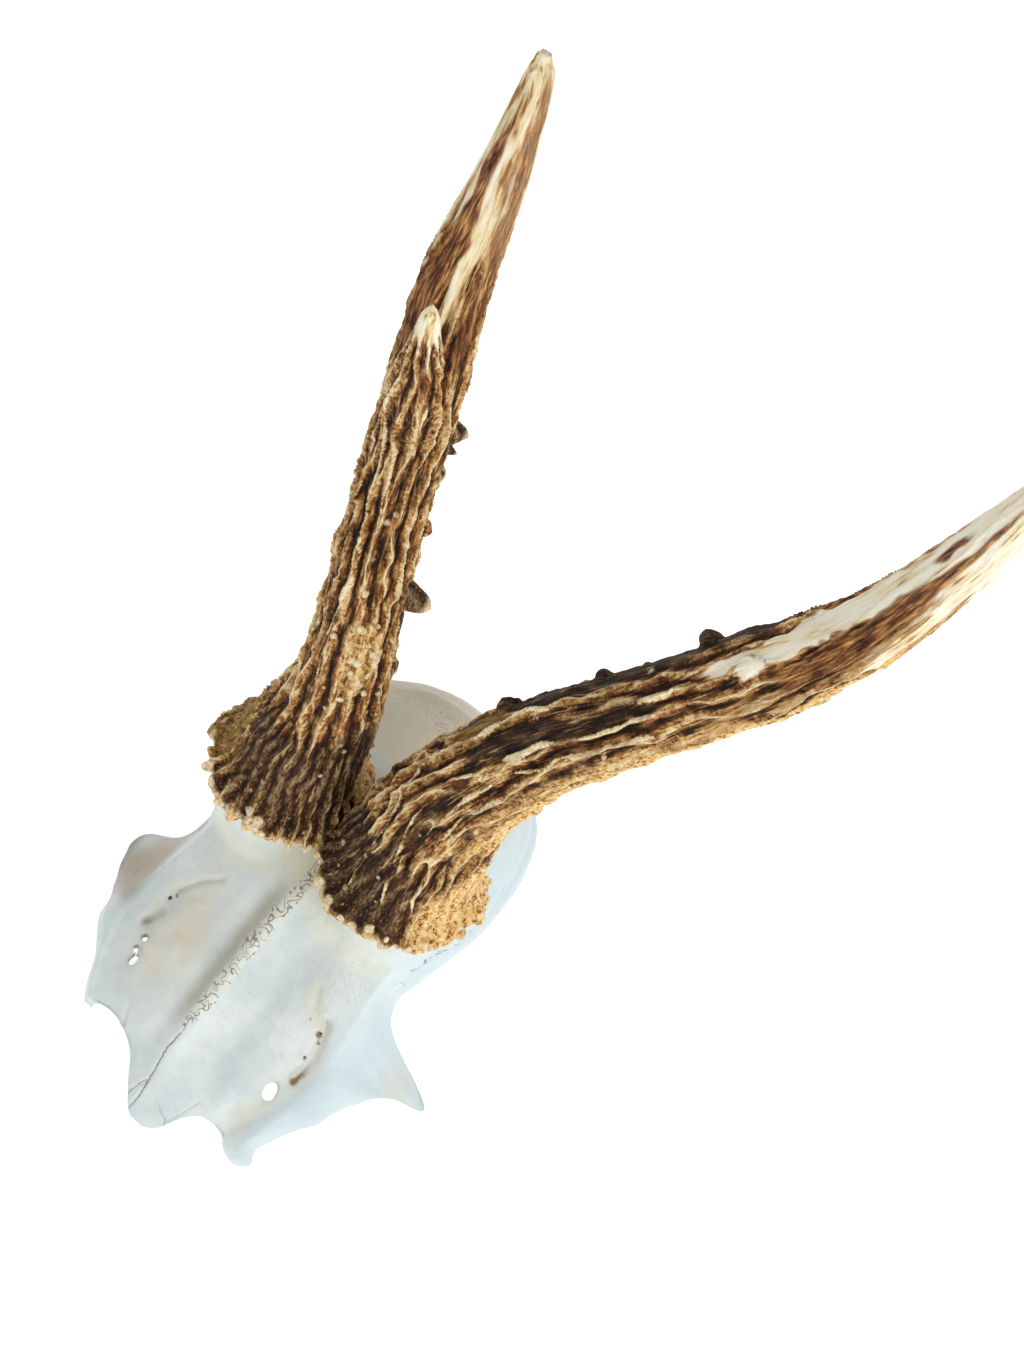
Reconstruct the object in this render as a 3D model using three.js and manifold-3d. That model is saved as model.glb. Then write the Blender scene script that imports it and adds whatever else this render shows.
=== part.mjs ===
// A roebuck's skull cap with both antlers, sawn off level so that it rests on the cut.
// Millimetres, +Z up, the muzzle towards -Y and the animal's left towards +X.
// The finished part's origin is the middle of the sawn rim at the back of the skull.

import * as THREE from 'three';
import { mergeVertices } from 'three/addons/utils/BufferGeometryUtils.js';
import Module from 'manifold-3d';

const wasm = await Module();
wasm.setup();

// Driving dimensions

const REAR_RIM_Y = 51.5; // middle of the rear rim, measured back from between the pedicles
const SAW_LEVEL = 0; // height of the saw cut
const BELOW_SAW = -1.2; // how far the walls are grown past the cut before they are sawn
const WALL = 3.2; // bone thickness of the forehead
const BRAINCASE_WALL = 4.2; // bone thickness round the braincase
const SEAM = 0.3; // gap at each pedicle seam and between the two burrs

const BRAINCASE = { crownY: -5, height: 46, slope: 0.12, cornerY: 47, rearY: 53.5, squareness: 2.2 };

// Forehead stations from the muzzle end back: the midline height, the brow crest's half width and
// height, and the height of the eye-socket rim.
const FOREHEAD = [
  { y: -72, mid: 5.5, crestX: 13, crest: 3.5, rim: 1.5 },
  { y: -60, mid: 16, crestX: 20, crest: 9.5, rim: 2.5 },
  { y: -52, mid: 23, crestX: 24, crest: 17, rim: 8 },
  { y: -45, mid: 28.5, crestX: 26.5, crest: 22, rim: 13 },
  { y: -38, mid: 33.5, crestX: 27.5, crest: 27, rim: 13 },
  { y: -32, mid: 37.5, crestX: 27.5, crest: 31, rim: 7 },
  { y: -26, mid: 40.5, crestX: 26.5, crest: 34, rim: BELOW_SAW },
  { y: -20, mid: 42.8, crestX: 25.5, crest: 36, rim: BELOW_SAW },
  { y: -12, mid: 45, crestX: 25.5, crest: 37, rim: BELOW_SAW },
  { y: 0, mid: 46, crestX: 26, crest: 36.5, rim: BELOW_SAW },
  { y: 14, mid: 45.5, crestX: 24, crest: 32, rim: BELOW_SAW },
];

// Plan outline of each side, [half width, station y], from the front corner past the hook behind the
// eye socket to the rear corner of the braincase. In front the stations are drawn on towards the
// front edge, so a corner there lies further forward than its station.
const LEFT_SIDE = [
  [26.2, -60], [28.6, -54.5], [27.5, -50.4], [29.5, -47.3], [31.4, -45.2], [34.2, -43], [35.3, -40.4],
  [37.7, -36.1], [40, -32], [43.9, -28.4], [49.2, -26.4], [44.6, -22.4], [38.6, -20], [33.2, -17.4],
  [29.2, -12.6], [29.7, -4.7], [31.2, 3], [33, 13.7], [32.8, 23], [31.3, 32], [28, 39.5], [20, 47],
];
const RIGHT_SIDE = [
  [23.6, -58.3], [24.7, -53], [26.3, -49.5], [28.3, -46], [30.5, -43.9], [32.7, -41.8], [33.6, -38.9],
  [36.6, -34.4], [40.3, -28.1], [41.7, -23.7], [39.8, -19.6], [35.6, -17], [32.6, -13.6], [30.6, -9],
  [29.9, -4.7], [31.2, 3], [33, 13.7], [32.8, 23], [31.3, 32], [28, 39.5], [20, 47],
];

// Plan line of the broken front edge, [x, y]: two corners with a tongue of nasal bone between them.
const FRONT_EDGE = [
  [-23.6, -58.3], [-16.5, -57.1], [-11.8, -58.1], [-7.3, -60.9], [-3.1, -66], [0.2, -69.6],
  [2.8, -70.8], [5.7, -70], [8, -68.3], [10.5, -64], [13.3, -61.2], [16.5, -60.2], [20, -60.7],
  [22.7, -61.6], [27.3, -62],
];

// Nerve holes through the brow: place, radii along and across, and turn in degrees.
const NERVE_HOLES = [
  { x: 22.3, y: -48.2, along: 2.3, across: 1.6, turn: 25 },
  { x: -20.3, y: -42.6, along: 0.9, across: 0.9, turn: 0 },
  { x: -20.2, y: -46.2, along: 1.6, across: 1.0, turn: 20 },
];

// The stump under each antler. Its sides narrow upwards from a foot that is sunk in the roof.
const PEDICLE = { topRadius: 12.4, footRadius: 15, sink: 2.2, insideCrest: 0.6, narrowing: 0.6 };

// Each antler: points of its centre line with the radius there, from the middle of the burr to the
// tip, the burr's radius, its tine and its thorns.
const RIGHT_ANTLER = {
  name: 'right_antler',
  side: -1,
  burrRadius: 18.4,
  line: [
    [-17.7, 0.8, 55.5, 14], [-17.5, 6, 71, 12.2], [-17.2, 12, 86.5, 9.4], [-20, 19, 102.5, 8],
    [-26.5, 32, 128.5, 7.1], [-32.6, 46.7, 152.7, 7.1], [-37.2, 56.6, 168, 6.6],
    [-40.5, 70.3, 186.5, 4.6], [-43.8, 80.6, 199, 2.6], [-45.2, 83.8, 202.8, 1.9],
  ],
  tine: [[-29.5, 40, 141, 6.6], [-31.5, 42, 155, 5.6], [-33, 43.6, 168, 3.8], [-34, 45, 180.5, 1.7]],
  thorns: [
    { z: 113.5, around: 118, length: 5.8, radius: 4.2 },
    { z: 146, around: 125, length: 3, radius: 3.6 },
    { z: 138.5, around: 118, length: 2.2, radius: 2.4 },
    { z: 127.5, around: 120, length: 1.8, radius: 2.4 },
    { z: 96.5, around: 110, length: 2, radius: 3.2 },
    { z: 87, around: 80, length: 1.6, radius: 3.4 },
  ],
};
const LEFT_ANTLER = {
  name: 'left_antler',
  side: 1,
  burrRadius: 19,
  line: [
    [13.7, 0.5, 54.4, 15.4], [14.1, 6.3, 72.3, 13.6], [16, 12.5, 88, 11.4], [23.5, 23.2, 111, 9.6],
    [35.7, 34.6, 132.9, 8.5], [47.1, 46.6, 152.5, 8.2], [56.2, 58.4, 170.5, 6.3],
    [60.6, 71, 187.5, 4.8], [63, 82.9, 201.9, 2.6], [63.8, 86.5, 206.5, 1.6],
  ],
  tine: [[43, 42.5, 145, 6], [43.6, 42.2, 152, 4.8], [44.2, 42, 157.5, 3.6], [44.6, 42, 161.5, 2.2]],
  thorns: [
    { z: 108, around: -110, length: 2.4, radius: 4 },
    { z: 126, around: -125, length: 1.8, radius: 3 },
    { z: 146, around: -120, length: 3, radius: 3.6 },
    { z: 82, around: -80, length: 2, radius: 3.4 },
  ],
};

// The burrs: how far they reach below and above their middle, how quickly they flare there, their
// lumps, and the plane between them where the two grew against each other.
const BURR = {
  belowMiddle: 3.8, aboveMiddle: 3.4, flareBelow: 5.1, flareAbove: 5, underside: 0.7, edge: 0.6,
  lumps: 9, lumpDepth: 1.1, contactX: -1.7, contactTop: 80,
};

// The beams' main ridges: how many there are, how they wander and twist, and where they start and fade.
const RIDGES = {
  count: 8, depth: 0.95, wander: 0.5, sway: 19, twist: 4, startFrom: 3, startTo: 14, fadeFrom: 0.62,
  fadeTo: 0.86,
};
const TINE = { ridges: 5, ridgeDepth: 0.45 };
const THORN = { sunk: 2.5, droop: 0.3, tipShare: 0.42 };

// Where each rounded tip starts, as a share of the length, and how blunt it ends.
const BEAM_TIP = { from: 0.975, bluntness: 0.02 };
const TINE_TIP = { from: 0.9, bluntness: 0.04 };

// Cutting tools: the block below the saw cut and the drill for the nerve holes.
const SAW = { width: 200, length: 260, depth: 60 };
const DRILL = { length: 40, middle: 22 };

// How finely each form is divided. The burr takes a larger share of the antler's rings than of its
// length, and the rings draw together towards the tip.
const SKULL_GRID = { across: 30, along: 28 };
const ANTLER_GRID = { around: 30, along: 31, burrShare: 0.24, burrReach: 0.085, crowding: 0.94 };
const TINE_GRID = { around: 14, along: 8 };
const PEDICLE_GRID = { around: 24, along: 3 };
const THORN_SIDES = 9;
const DRILL_SIDES = 12;

// Materials

const BONE = new THREE.MeshStandardMaterial({
  name: 'bone', color: 0xe6ecea, roughness: 0.62, metalness: 0,
});
const ANTLER = new THREE.MeshStandardMaterial({
  name: 'antler', color: 0x7a5232, roughness: 0.7, metalness: 0,
});

// Small helpers

const rad = THREE.MathUtils.degToRad;
const lerp = THREE.MathUtils.lerp;
const smoothstep = THREE.MathUtils.smoothstep;
const bell = (distance, width) => Math.exp(-((distance / width) ** 2));
const power = (value, exponent) => Math.sign(value) * Math.abs(value) ** exponent;
const quarterTurn = Math.PI / 2;
const upwards = new THREE.Vector3(0, 1, 0);

/** Share of the full radius at a share of the length, for a tip that is rounded off. */
const roundedTip = (share, { from, bluntness }) => (
  Math.sqrt(Math.max(bluntness, 1 - smoothstep(share, from, 1) ** 2)));

/** Straight interpolation of rows [input, output], sorted by input. */
function interpolate(rows, input) {
  const last = rows.length - 1;
  if (input <= rows[0][0]) return rows[0][1];
  if (input >= rows[last][0]) return rows[last][1];
  const next = rows.findIndex(([at]) => at > input);
  const [a, b] = [rows[next - 1], rows[next]];
  return lerp(a[1], b[1], (input - a[0]) / (b[0] - a[0]));
}

/** Turns a closed three.js geometry into a solid for joining and cutting. */
function toSolid(geometry) {
  const bare = geometry.clone();
  bare.deleteAttribute('normal');
  bare.deleteAttribute('uv');
  const merged = mergeVertices(bare, 1e-4);
  return new wasm.Manifold(new wasm.Mesh({
    numProp: 3,
    vertProperties: new Float32Array(merged.attributes.position.array),
    triVerts: new Uint32Array(merged.index.array),
  }));
}

/** Turns a joined or cut solid back into a three.js geometry. */
function toGeometry(solid) {
  const mesh = solid.getMesh();
  const geometry = new THREE.BufferGeometry();
  geometry.setAttribute('position', new THREE.BufferAttribute(mesh.vertProperties, mesh.numProp));
  geometry.setIndex(new THREE.BufferAttribute(mesh.triVerts, 1));
  geometry.computeVertexNormals();
  return geometry;
}

/** Moves every vertex of a geometry to the place that a function gives for it. */
function mapVertices(geometry, place) {
  const position = geometry.attributes.position;
  const point = new THREE.Vector3();
  for (let i = 0; i < position.count; i += 1) {
    point.fromBufferAttribute(position, i);
    const moved = place(point.clone());
    position.setXYZ(i, moved.x, moved.y, moved.z);
  }
  return geometry;
}

// The skull cap

// Shares of the skull's sheet: across it to the brow crest, and along it to the crown.
const CREST_SHARE = 0.62;
const CROWN_SHARE = 0.54;
const FRONT_STATION_Y = -60;

// Low forms of the forehead, by their distance from the midline: a trough on each side, and the
// ridge over the joint between the two frontal bones.
const TROUGH = { middle: 9, width: 5, depth: 1.5, startFrom: 14, startTo: 30 };
const JOINT_RIDGE = { width: 2.5, height: 0.7, startFrom: 8, startTo: 20 };
const ROOF_CURVE = 2.3; // how suddenly the roof falls from the midline to the crest

const foreheadRows = (key) => FOREHEAD.map((station) => [station.y, station[key]]);
const MIDLINE = foreheadRows('mid');
const CREST_X = foreheadRows('crestX');
const CREST = foreheadRows('crest');
const RIM = foreheadRows('rim');
const LEFT_HALF_WIDTH = LEFT_SIDE.map(([x, y]) => [y, x]);
const RIGHT_HALF_WIDTH = RIGHT_SIDE.map(([x, y]) => [y, x]);

const halfWidth = (side, y) => interpolate(side > 0 ? LEFT_HALF_WIDTH : RIGHT_HALF_WIDTH, y);

/** Height of the roof of the forehead, between its two crests, over a place in plan. */
function roofHeight(x, y) {
  const flank = Math.min(1, Math.abs(x) / interpolate(CREST_X, y));
  return lerp(interpolate(MIDLINE, y), interpolate(CREST, y), flank ** ROOF_CURVE);
}

/** A point of the forehead, with u from -1 to 1 across it at a station in y. */
function foreheadPoint(u, stationY) {
  const side = Math.sign(u) || 1;
  const share = Math.abs(u);
  const beyond = Math.max(0, (share - CREST_SHARE) / (1 - CREST_SHARE));
  const width = halfWidth(side, stationY);
  const crestX = Math.min(interpolate(CREST_X, stationY), width - 2);
  const reach = share < CREST_SHARE ? crestX * share / CREST_SHARE : lerp(crestX, width, beyond);
  const x = side * reach;
  const frontPull = smoothstep(-stationY, 30, 60);
  const edge = interpolate(FRONT_EDGE, x);
  const y = lerp(stationY, edge, frontPull ** 2);

  const rim = interpolate(RIM, y);
  const roof = roofHeight(x, y);
  const hook = smoothstep(y, -40, -30) * (1 - smoothstep(y, -18, -6));
  const wall = lerp((1 - beyond ** 2) ** 0.6, (1 - beyond) ** 1.25, hook);
  const height = share < CREST_SHARE ? roof : rim + (roof - rim) * wall;
  const trough = TROUGH.depth * bell(Math.abs(x) - TROUGH.middle, TROUGH.width)
    * smoothstep(-y, TROUGH.startFrom, TROUGH.startTo);
  const ridge = JOINT_RIDGE.height * bell(x, JOINT_RIDGE.width)
    * smoothstep(-y, JOINT_RIDGE.startFrom, JOINT_RIDGE.startTo);
  return new THREE.Vector3(x, y, height - trough + ridge);
}

/** A point of the braincase dome, with u across it and turn from 0 at the crown to a quarter turn. */
function domePoint(u, stationY, turn) {
  const { crownY, height, slope, cornerY, rearY, squareness } = BRAINCASE;
  const exponent = 2 / squareness;
  const side = Math.sign(u) || 1;
  const reach = power(Math.sin(turn), exponent);
  const rimY = turn > 0 ? crownY + (cornerY - crownY) * reach : stationY;
  const across = power(Math.sin(Math.abs(u) * quarterTurn), exponent);
  const x = side * halfWidth(side, rimY) * across;
  const y = rimY + (rearY - cornerY) * reach * (1 - across ** 2);
  const sideFall = power(Math.cos(u * quarterTurn), exponent);
  const fall = sideFall * power(Math.max(0, Math.cos(turn)), exponent);
  return new THREE.Vector3(x, y, lerp(BELOW_SAW, height - slope * (y - crownY), fall));
}

/** A point of the skull's outside, with u across it and v from the muzzle end to the rear rim. */
function skullPoint(u, v) {
  const { crownY, cornerY, squareness } = BRAINCASE;
  const turn = Math.max(0, (v - CROWN_SHARE) / (1 - CROWN_SHARE)) * quarterTurn;
  const frontY = lerp(FRONT_STATION_Y, crownY, Math.min(1, v / CROWN_SHARE));
  const rearY = lerp(crownY, cornerY, power(Math.sin(turn), 2 / squareness));
  const stationY = turn > 0 ? rearY : frontY;
  const blend = smoothstep(stationY, -10, 20);
  return foreheadPoint(u, stationY).lerp(domePoint(u, stationY, turn), blend);
}

/** The bone shell: a flat box, bent so that its top is the skull's outside. */
function skullShell() {
  const box = new THREE.BoxGeometry(2, 1, 1, SKULL_GRID.across, SKULL_GRID.along, 1);
  return mapVertices(box, (point) => {
    const u = point.x;
    const v = point.y + 0.5;
    const outside = skullPoint(u, v);
    if (point.z > 0) return outside;
    const rear = smoothstep(v, 0.6, 1) ** 2;
    const flank = Math.abs(u) ** 3;
    const wall = lerp(WALL, BRAINCASE_WALL, smoothstep(v, 0.4, 0.6));
    const down = wall * (1 - 0.75 * Math.max(flank * smoothstep(v, 0.3, 0.5), rear));
    return outside.add(new THREE.Vector3(-Math.sign(u) * wall * flank, -wall * rear, -down));
  });
}

/** An oval drill that goes through the brow from above. */
function nerveHole({ x, y, along, across, turn }) {
  const drill = new THREE.CylinderGeometry(1, 1, DRILL.length, DRILL_SIDES);
  drill.scale(across, 1, along);
  drill.rotateX(quarterTurn);
  drill.rotateZ(rad(turn));
  drill.translate(x, y, DRILL.middle);
  return drill;
}

// The antlers

/** A smooth centre line through rows [x, y, z, radius], with a radius and a frame along it. */
class Track {
  constructor(rows) {
    const places = rows.map(([x, y, z]) => new THREE.Vector3(x, y, z));
    this.curve = new THREE.CatmullRomCurve3(places, false, 'centripetal');
    this.radii = rows.map(([, , z, radius]) => [z, radius]);
    this.length = this.curve.getLength();
  }

  /** Place, radius and the forward and sideways directions at a share of the length. */
  at(share) {
    const inside = THREE.MathUtils.clamp(share, 0, 1);
    const along = this.curve.getTangentAt(inside);
    const centre = this.curve.getPointAt(inside).addScaledVector(along, (share - inside) * this.length);
    const forward = new THREE.Vector3(0, -1, 0);
    forward.addScaledVector(along, -forward.dot(along)).normalize();
    const sideways = new THREE.Vector3().crossVectors(along, forward);
    return { centre, along, forward, sideways, radius: interpolate(this.radii, centre.z) };
  }

  /** The share of the length at which the line reaches a height. */
  shareAtHeight(z) {
    let [low, high] = [0, 1];
    for (let step = 0; step < 24; step += 1) {
      const middle = (low + high) / 2;
      const isBelow = this.curve.getPointAt(middle).z < z;
      low = isBelow ? middle : low;
      high = isBelow ? high : middle;
    }
    return low;
  }

  /** The point at a distance from the line, at an angle from the front towards the animal's left. */
  point(share, angle, distance) {
    const { centre, forward, sideways } = this.at(share);
    return centre
      .addScaledVector(forward, distance * Math.cos(angle))
      .addScaledVector(sideways, distance * Math.sin(angle));
  }
}

/** A closed rod along a track: rings from a cylinder, moved to the radius a function gives. */
function rodAlong(track, around, rings, shareOf, radiusAt) {
  const rod = new THREE.CylinderGeometry(1, 1, 1, around, rings, false);
  return mapVertices(rod, (point) => {
    const share = shareOf(point.y + 0.5);
    const angle = Math.atan2(point.x, point.z);
    const isRim = Math.hypot(point.x, point.z) > 0.5;
    return track.point(share, angle, isRim ? radiusAt(share, angle) : 0);
  });
}

/** The burr and beam: a burr that flares over the pedicle, wavy ridges and a smooth tip. */
function beam(track, { side, burrRadius }) {
  const foot = -BURR.belowMiddle / track.length;
  const { burrShare, burrReach, crowding } = ANTLER_GRID;
  const shareOf = (step) => (step < burrShare
    ? lerp(foot, burrReach, step / burrShare)
    : lerp(burrReach, 1, ((step - burrShare) / (1 - burrShare)) ** crowding));
  const radiusAt = (share, angle) => {
    const height = share * track.length;
    const shaft = track.at(share).radius;
    const flare = bell(height, height < 0 ? BURR.flareBelow : BURR.flareAbove);
    const lump = Math.cos(BURR.lumps * angle) * BURR.lumpDepth * bell(height - 1, BURR.aboveMiddle);
    const burr = Math.max(0, burrRadius - shaft) * flare + lump;
    const under = 1 - (1 - BURR.underside) * smoothstep(-height, BURR.edge, BURR.belowMiddle);
    const wander = RIDGES.wander * Math.sin(share * RIDGES.sway) + side * share * RIDGES.twist;
    const start = smoothstep(height, RIDGES.startFrom, RIDGES.startTo);
    const end = 1 - smoothstep(share, RIDGES.fadeFrom, RIDGES.fadeTo);
    const ridge = RIDGES.depth * Math.sin(RIDGES.count * angle + wander) * start * end;
    return (shaft + burr + ridge) * under * roundedTip(share, BEAM_TIP);
  };
  const rod = rodAlong(track, ANTLER_GRID.around, ANTLER_GRID.along, shareOf, radiusAt);
  const contact = BURR.contactX + side * SEAM / 2;
  return mapVertices(rod, (point) => {
    const pressed = side > 0 ? Math.max(point.x, contact) : Math.min(point.x, contact);
    return point.setX(point.z < BURR.contactTop ? pressed : point.x);
  });
}

/** The front tine, with ridges that run together at its rounded tip. */
function tine(rows) {
  const track = new Track(rows);
  const radiusAt = (share, angle) => {
    const ridge = TINE.ridgeDepth * Math.cos(TINE.ridges * angle) * (1 - share);
    return (track.at(share).radius + ridge) * roundedTip(share, TINE_TIP);
  };
  return rodAlong(track, TINE_GRID.around, TINE_GRID.along, (step) => step, radiusAt);
}

/** A thorn or knob that stands out of the beam and droops a little towards the burr. */
function thorn(track, { z, around, length, radius }) {
  const share = track.shareAtHeight(z);
  const { radius: shaft, along } = track.at(share);
  const root = track.point(share, rad(around), shaft - THORN.sunk);
  const tip = track.point(share, rad(around), shaft + length);
  tip.addScaledVector(along, -THORN.droop * length);
  const run = tip.clone().sub(root);
  const reach = run.length();
  const cone = new THREE.CylinderGeometry(radius * THORN.tipShare, radius, reach, THORN_SIDES, 1);
  cone.translate(0, reach / 2, 0);
  cone.applyQuaternion(new THREE.Quaternion().setFromUnitVectors(upwards, run.normalize()));
  cone.translate(root.x, root.y, root.z);
  return cone;
}

/** One antler in one piece. */
function antler(plan) {
  const track = new Track(plan.line);
  let solid = toSolid(beam(track, plan)).add(toSolid(tine(plan.tine)));
  for (const spec of plan.thorns) {
    solid = solid.add(toSolid(thorn(track, spec)));
  }
  return toGeometry(solid);
}

/** The stump of bone that carries one antler: its top lies just under the burr, and its foot
 * follows the roof of the forehead as far as the brow crest. */
function pedicle(plan) {
  const track = new Track(plan.line);
  const topShare = -(BURR.belowMiddle + SEAM) / track.length;
  const { around, along } = PEDICLE_GRID;
  const stump = new THREE.CylinderGeometry(1, 1, 1, around, along, false);
  return mapVertices(stump, (point) => {
    const up = point.y + 0.5;
    const angle = Math.atan2(point.x, point.z);
    const share = Math.hypot(point.x, point.z);
    const top = track.point(topShare, angle, PEDICLE.topRadius * share);
    const foot = track.point(topShare, angle, PEDICLE.footRadius * share);
    const limit = interpolate(CREST_X, foot.y) - PEDICLE.insideCrest;
    foot.x = THREE.MathUtils.clamp(foot.x, -limit, limit);
    foot.z = roofHeight(foot.x, foot.y) - PEDICLE.sink;
    const inward = up ** PEDICLE.narrowing;
    const x = lerp(foot.x, top.x, inward);
    const y = lerp(foot.y, top.y, inward);
    return new THREE.Vector3(x, y, lerp(foot.z, top.z, up));
  });
}

/** The skull cap in one piece, cut flat at the saw level. */
function skullCap() {
  const saw = new THREE.BoxGeometry(SAW.width, SAW.length, SAW.depth);
  saw.translate(0, 0, SAW_LEVEL - SAW.depth / 2);
  let solid = toSolid(skullShell());
  for (const plan of [RIGHT_ANTLER, LEFT_ANTLER]) {
    solid = solid.add(toSolid(pedicle(plan)));
  }
  for (const hole of NERVE_HOLES) {
    solid = solid.subtract(toSolid(nerveHole(hole)));
  }
  return toGeometry(solid.subtract(toSolid(saw)));
}

/** A named mesh of the part. */
function piece(name, geometry, material) {
  const mesh = new THREE.Mesh(geometry, material);
  mesh.name = name;
  return mesh;
}

const trophy = new THREE.Group();
trophy.add(piece('skull_cap', skullCap(), BONE));
trophy.add(piece(RIGHT_ANTLER.name, antler(RIGHT_ANTLER), ANTLER));
trophy.add(piece(LEFT_ANTLER.name, antler(LEFT_ANTLER), ANTLER));
trophy.position.set(0, -REAR_RIM_Y, 0);

export default trophy;
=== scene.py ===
"""A roebuck's skull cap with both antlers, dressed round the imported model.

The bleached bone cap rests on its saw cut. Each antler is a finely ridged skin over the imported
solid's form: burr, beam, front tine, thorns and polished tip. Lengths are in millimetres until a
mesh is made, with +Z up, the muzzle towards -Y and the animal's left towards +X.
"""
import itertools
import logging
import math
from dataclasses import dataclass
from enum import Enum
from typing import Callable, Sequence

import bmesh
import bpy
import numpy as np
from mathutils import Euler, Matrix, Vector


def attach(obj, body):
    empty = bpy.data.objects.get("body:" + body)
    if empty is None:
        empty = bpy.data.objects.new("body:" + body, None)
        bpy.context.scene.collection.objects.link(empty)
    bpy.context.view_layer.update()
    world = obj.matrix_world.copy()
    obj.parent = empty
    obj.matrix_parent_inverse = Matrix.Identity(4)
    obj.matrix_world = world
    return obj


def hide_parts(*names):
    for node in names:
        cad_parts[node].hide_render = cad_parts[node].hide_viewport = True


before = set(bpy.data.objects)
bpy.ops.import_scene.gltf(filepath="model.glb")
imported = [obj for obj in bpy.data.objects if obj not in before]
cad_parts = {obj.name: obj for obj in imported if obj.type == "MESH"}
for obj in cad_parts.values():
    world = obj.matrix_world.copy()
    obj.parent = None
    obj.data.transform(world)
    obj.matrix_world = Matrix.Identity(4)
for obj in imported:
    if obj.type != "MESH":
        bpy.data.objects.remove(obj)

LOG = logging.getLogger("skull_cap")
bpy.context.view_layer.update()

MM = 0.001
REAR_RIM_Y = 51.5  # the frame's origin lies this far behind the middle between the pedicles
ORIGIN = np.array([0.0, REAR_RIM_Y, 0.0])

Array = np.ndarray


# Numbers and noise


def smoothstep(value: Array, low: float, high: float) -> Array:
    """A smooth rise from 0 at low to 1 at high."""
    part = np.clip((np.asarray(value, float) - low) / (high - low), 0.0, 1.0)
    return part * part * (3.0 - 2.0 * part)


def bell(distance: Array, width: float) -> Array:
    """A bell curve: 1 in the middle, about a third at the given width."""
    return np.exp(-((np.asarray(distance, float) / width) ** 2))


def mix(a: Array, b: Array, share: Array) -> Array:
    """The value between a and b at a share from 0 to 1."""
    return a + (b - a) * share


def flowing(at: Array, stations: Sequence[float], values: Sequence[float]) -> Array:
    """A smooth curve through rows of values, without the kinks of straight interpolation.

    Args:
        at: Where the curve is read.
        stations: Increasing places of the rows.
        values: The value at each row.

    Returns:
        The curve's value at each place, level beyond both ends.
    """
    x = np.asarray(stations, float)
    y = np.asarray(values, float)
    slopes = np.gradient(y, x)
    t = np.clip(np.asarray(at, float), x[0], x[-1])
    row = np.clip(np.searchsorted(x, t) - 1, 0, len(x) - 2)
    span = x[row + 1] - x[row]
    part = (t - x[row]) / span
    square, cube = part**2, part**3
    start = (2 * cube - 3 * square + 1) * y[row] + (cube - 2 * square + part) * span * slopes[row]
    end = (3 * square - 2 * cube) * y[row + 1] + (cube - square) * span * slopes[row + 1]
    return start + end


def noise(points: Array, size: float, seed: int) -> Array:
    """Smooth random values between -1 and 1, the same on every run.

    Args:
        points: One row of coordinates for each value.
        size: Distance between the noise's lumps, in the points' own unit.
        seed: Which noise it is.

    Returns:
        One value for each point.
    """
    table = np.random.default_rng(seed).uniform(-1.0, 1.0, 4096)
    scaled = points / size
    base = np.floor(scaled).astype(np.int64)
    part = scaled - base
    ease = part * part * (3.0 - 2.0 * part)
    total = np.zeros(len(points))
    for corner in itertools.product((0, 1), repeat=3):
        step = np.array(corner)
        weight = np.prod(np.where(step == 1, ease, 1.0 - ease), axis=1)
        cell = base + step
        key = (cell[:, 0] * 73856093) ^ (cell[:, 1] * 19349663) ^ (cell[:, 2] * 83492791)
        total += weight * table[key % 4096]
    return total


def rough(points: Array, size: float, seed: int, octaves: int = 3) -> Array:
    """Noise of several sizes laid over each other, each half the size of the one before."""
    total = np.zeros(len(points))
    for octave in range(octaves):
        total += noise(points, size / 2**octave, seed + octave) / 2**octave
    return total / 1.5


def dots(points: Array, spots: Sequence[tuple[float, float, float]]) -> Array:
    """Round soft spots in plan, each given by x, y and radius: the strongest at each place."""
    value = np.zeros(len(points))
    for x, y, radius in spots:
        value = np.maximum(value, bell(np.hypot(points[:, 0] - x, points[:, 1] - y), radius))
    return value


# Meshes


def read_points(mesh: bpy.types.Mesh) -> Array:
    """The mesh's vertices in millimetres, with y counted from between the pedicles."""
    flat = np.empty(len(mesh.vertices) * 3)
    mesh.vertices.foreach_get("co", flat)
    return flat.reshape(-1, 3) / MM + ORIGIN


def write_points(mesh: bpy.types.Mesh, points: Array) -> None:
    """Moves the mesh's vertices to points given in millimetres from between the pedicles."""
    mesh.vertices.foreach_set("co", ((points - ORIGIN) * MM).ravel())
    mesh.update()


def read_normals(mesh: bpy.types.Mesh) -> Array:
    """The mesh's outward direction at each vertex."""
    flat = np.empty(len(mesh.vertices) * 3)
    mesh.vertex_normals.foreach_get("vector", flat)
    return flat.reshape(-1, 3)


def paint(mesh: bpy.types.Mesh, name: str, values: Array) -> None:
    """Stores a number, or a vector, for each vertex under a name that the materials read."""
    if values.ndim == 1:
        layer = mesh.attributes.new(name, "FLOAT", "POINT")
        layer.data.foreach_set("value", values.astype(np.float32))
        return
    layer = mesh.attributes.new(name, "FLOAT_VECTOR", "POINT")
    layer.data.foreach_set("vector", values.astype(np.float32).ravel())


def new_object(name: str, bm: bmesh.types.BMesh) -> bpy.types.Object:
    """Turns a bmesh into an object of the scene and frees it."""
    mesh = bpy.data.meshes.new(name)
    bm.to_mesh(mesh)
    bm.free()
    piece = bpy.data.objects.new(name, mesh)
    bpy.context.scene.collection.objects.link(piece)
    return piece


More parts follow.
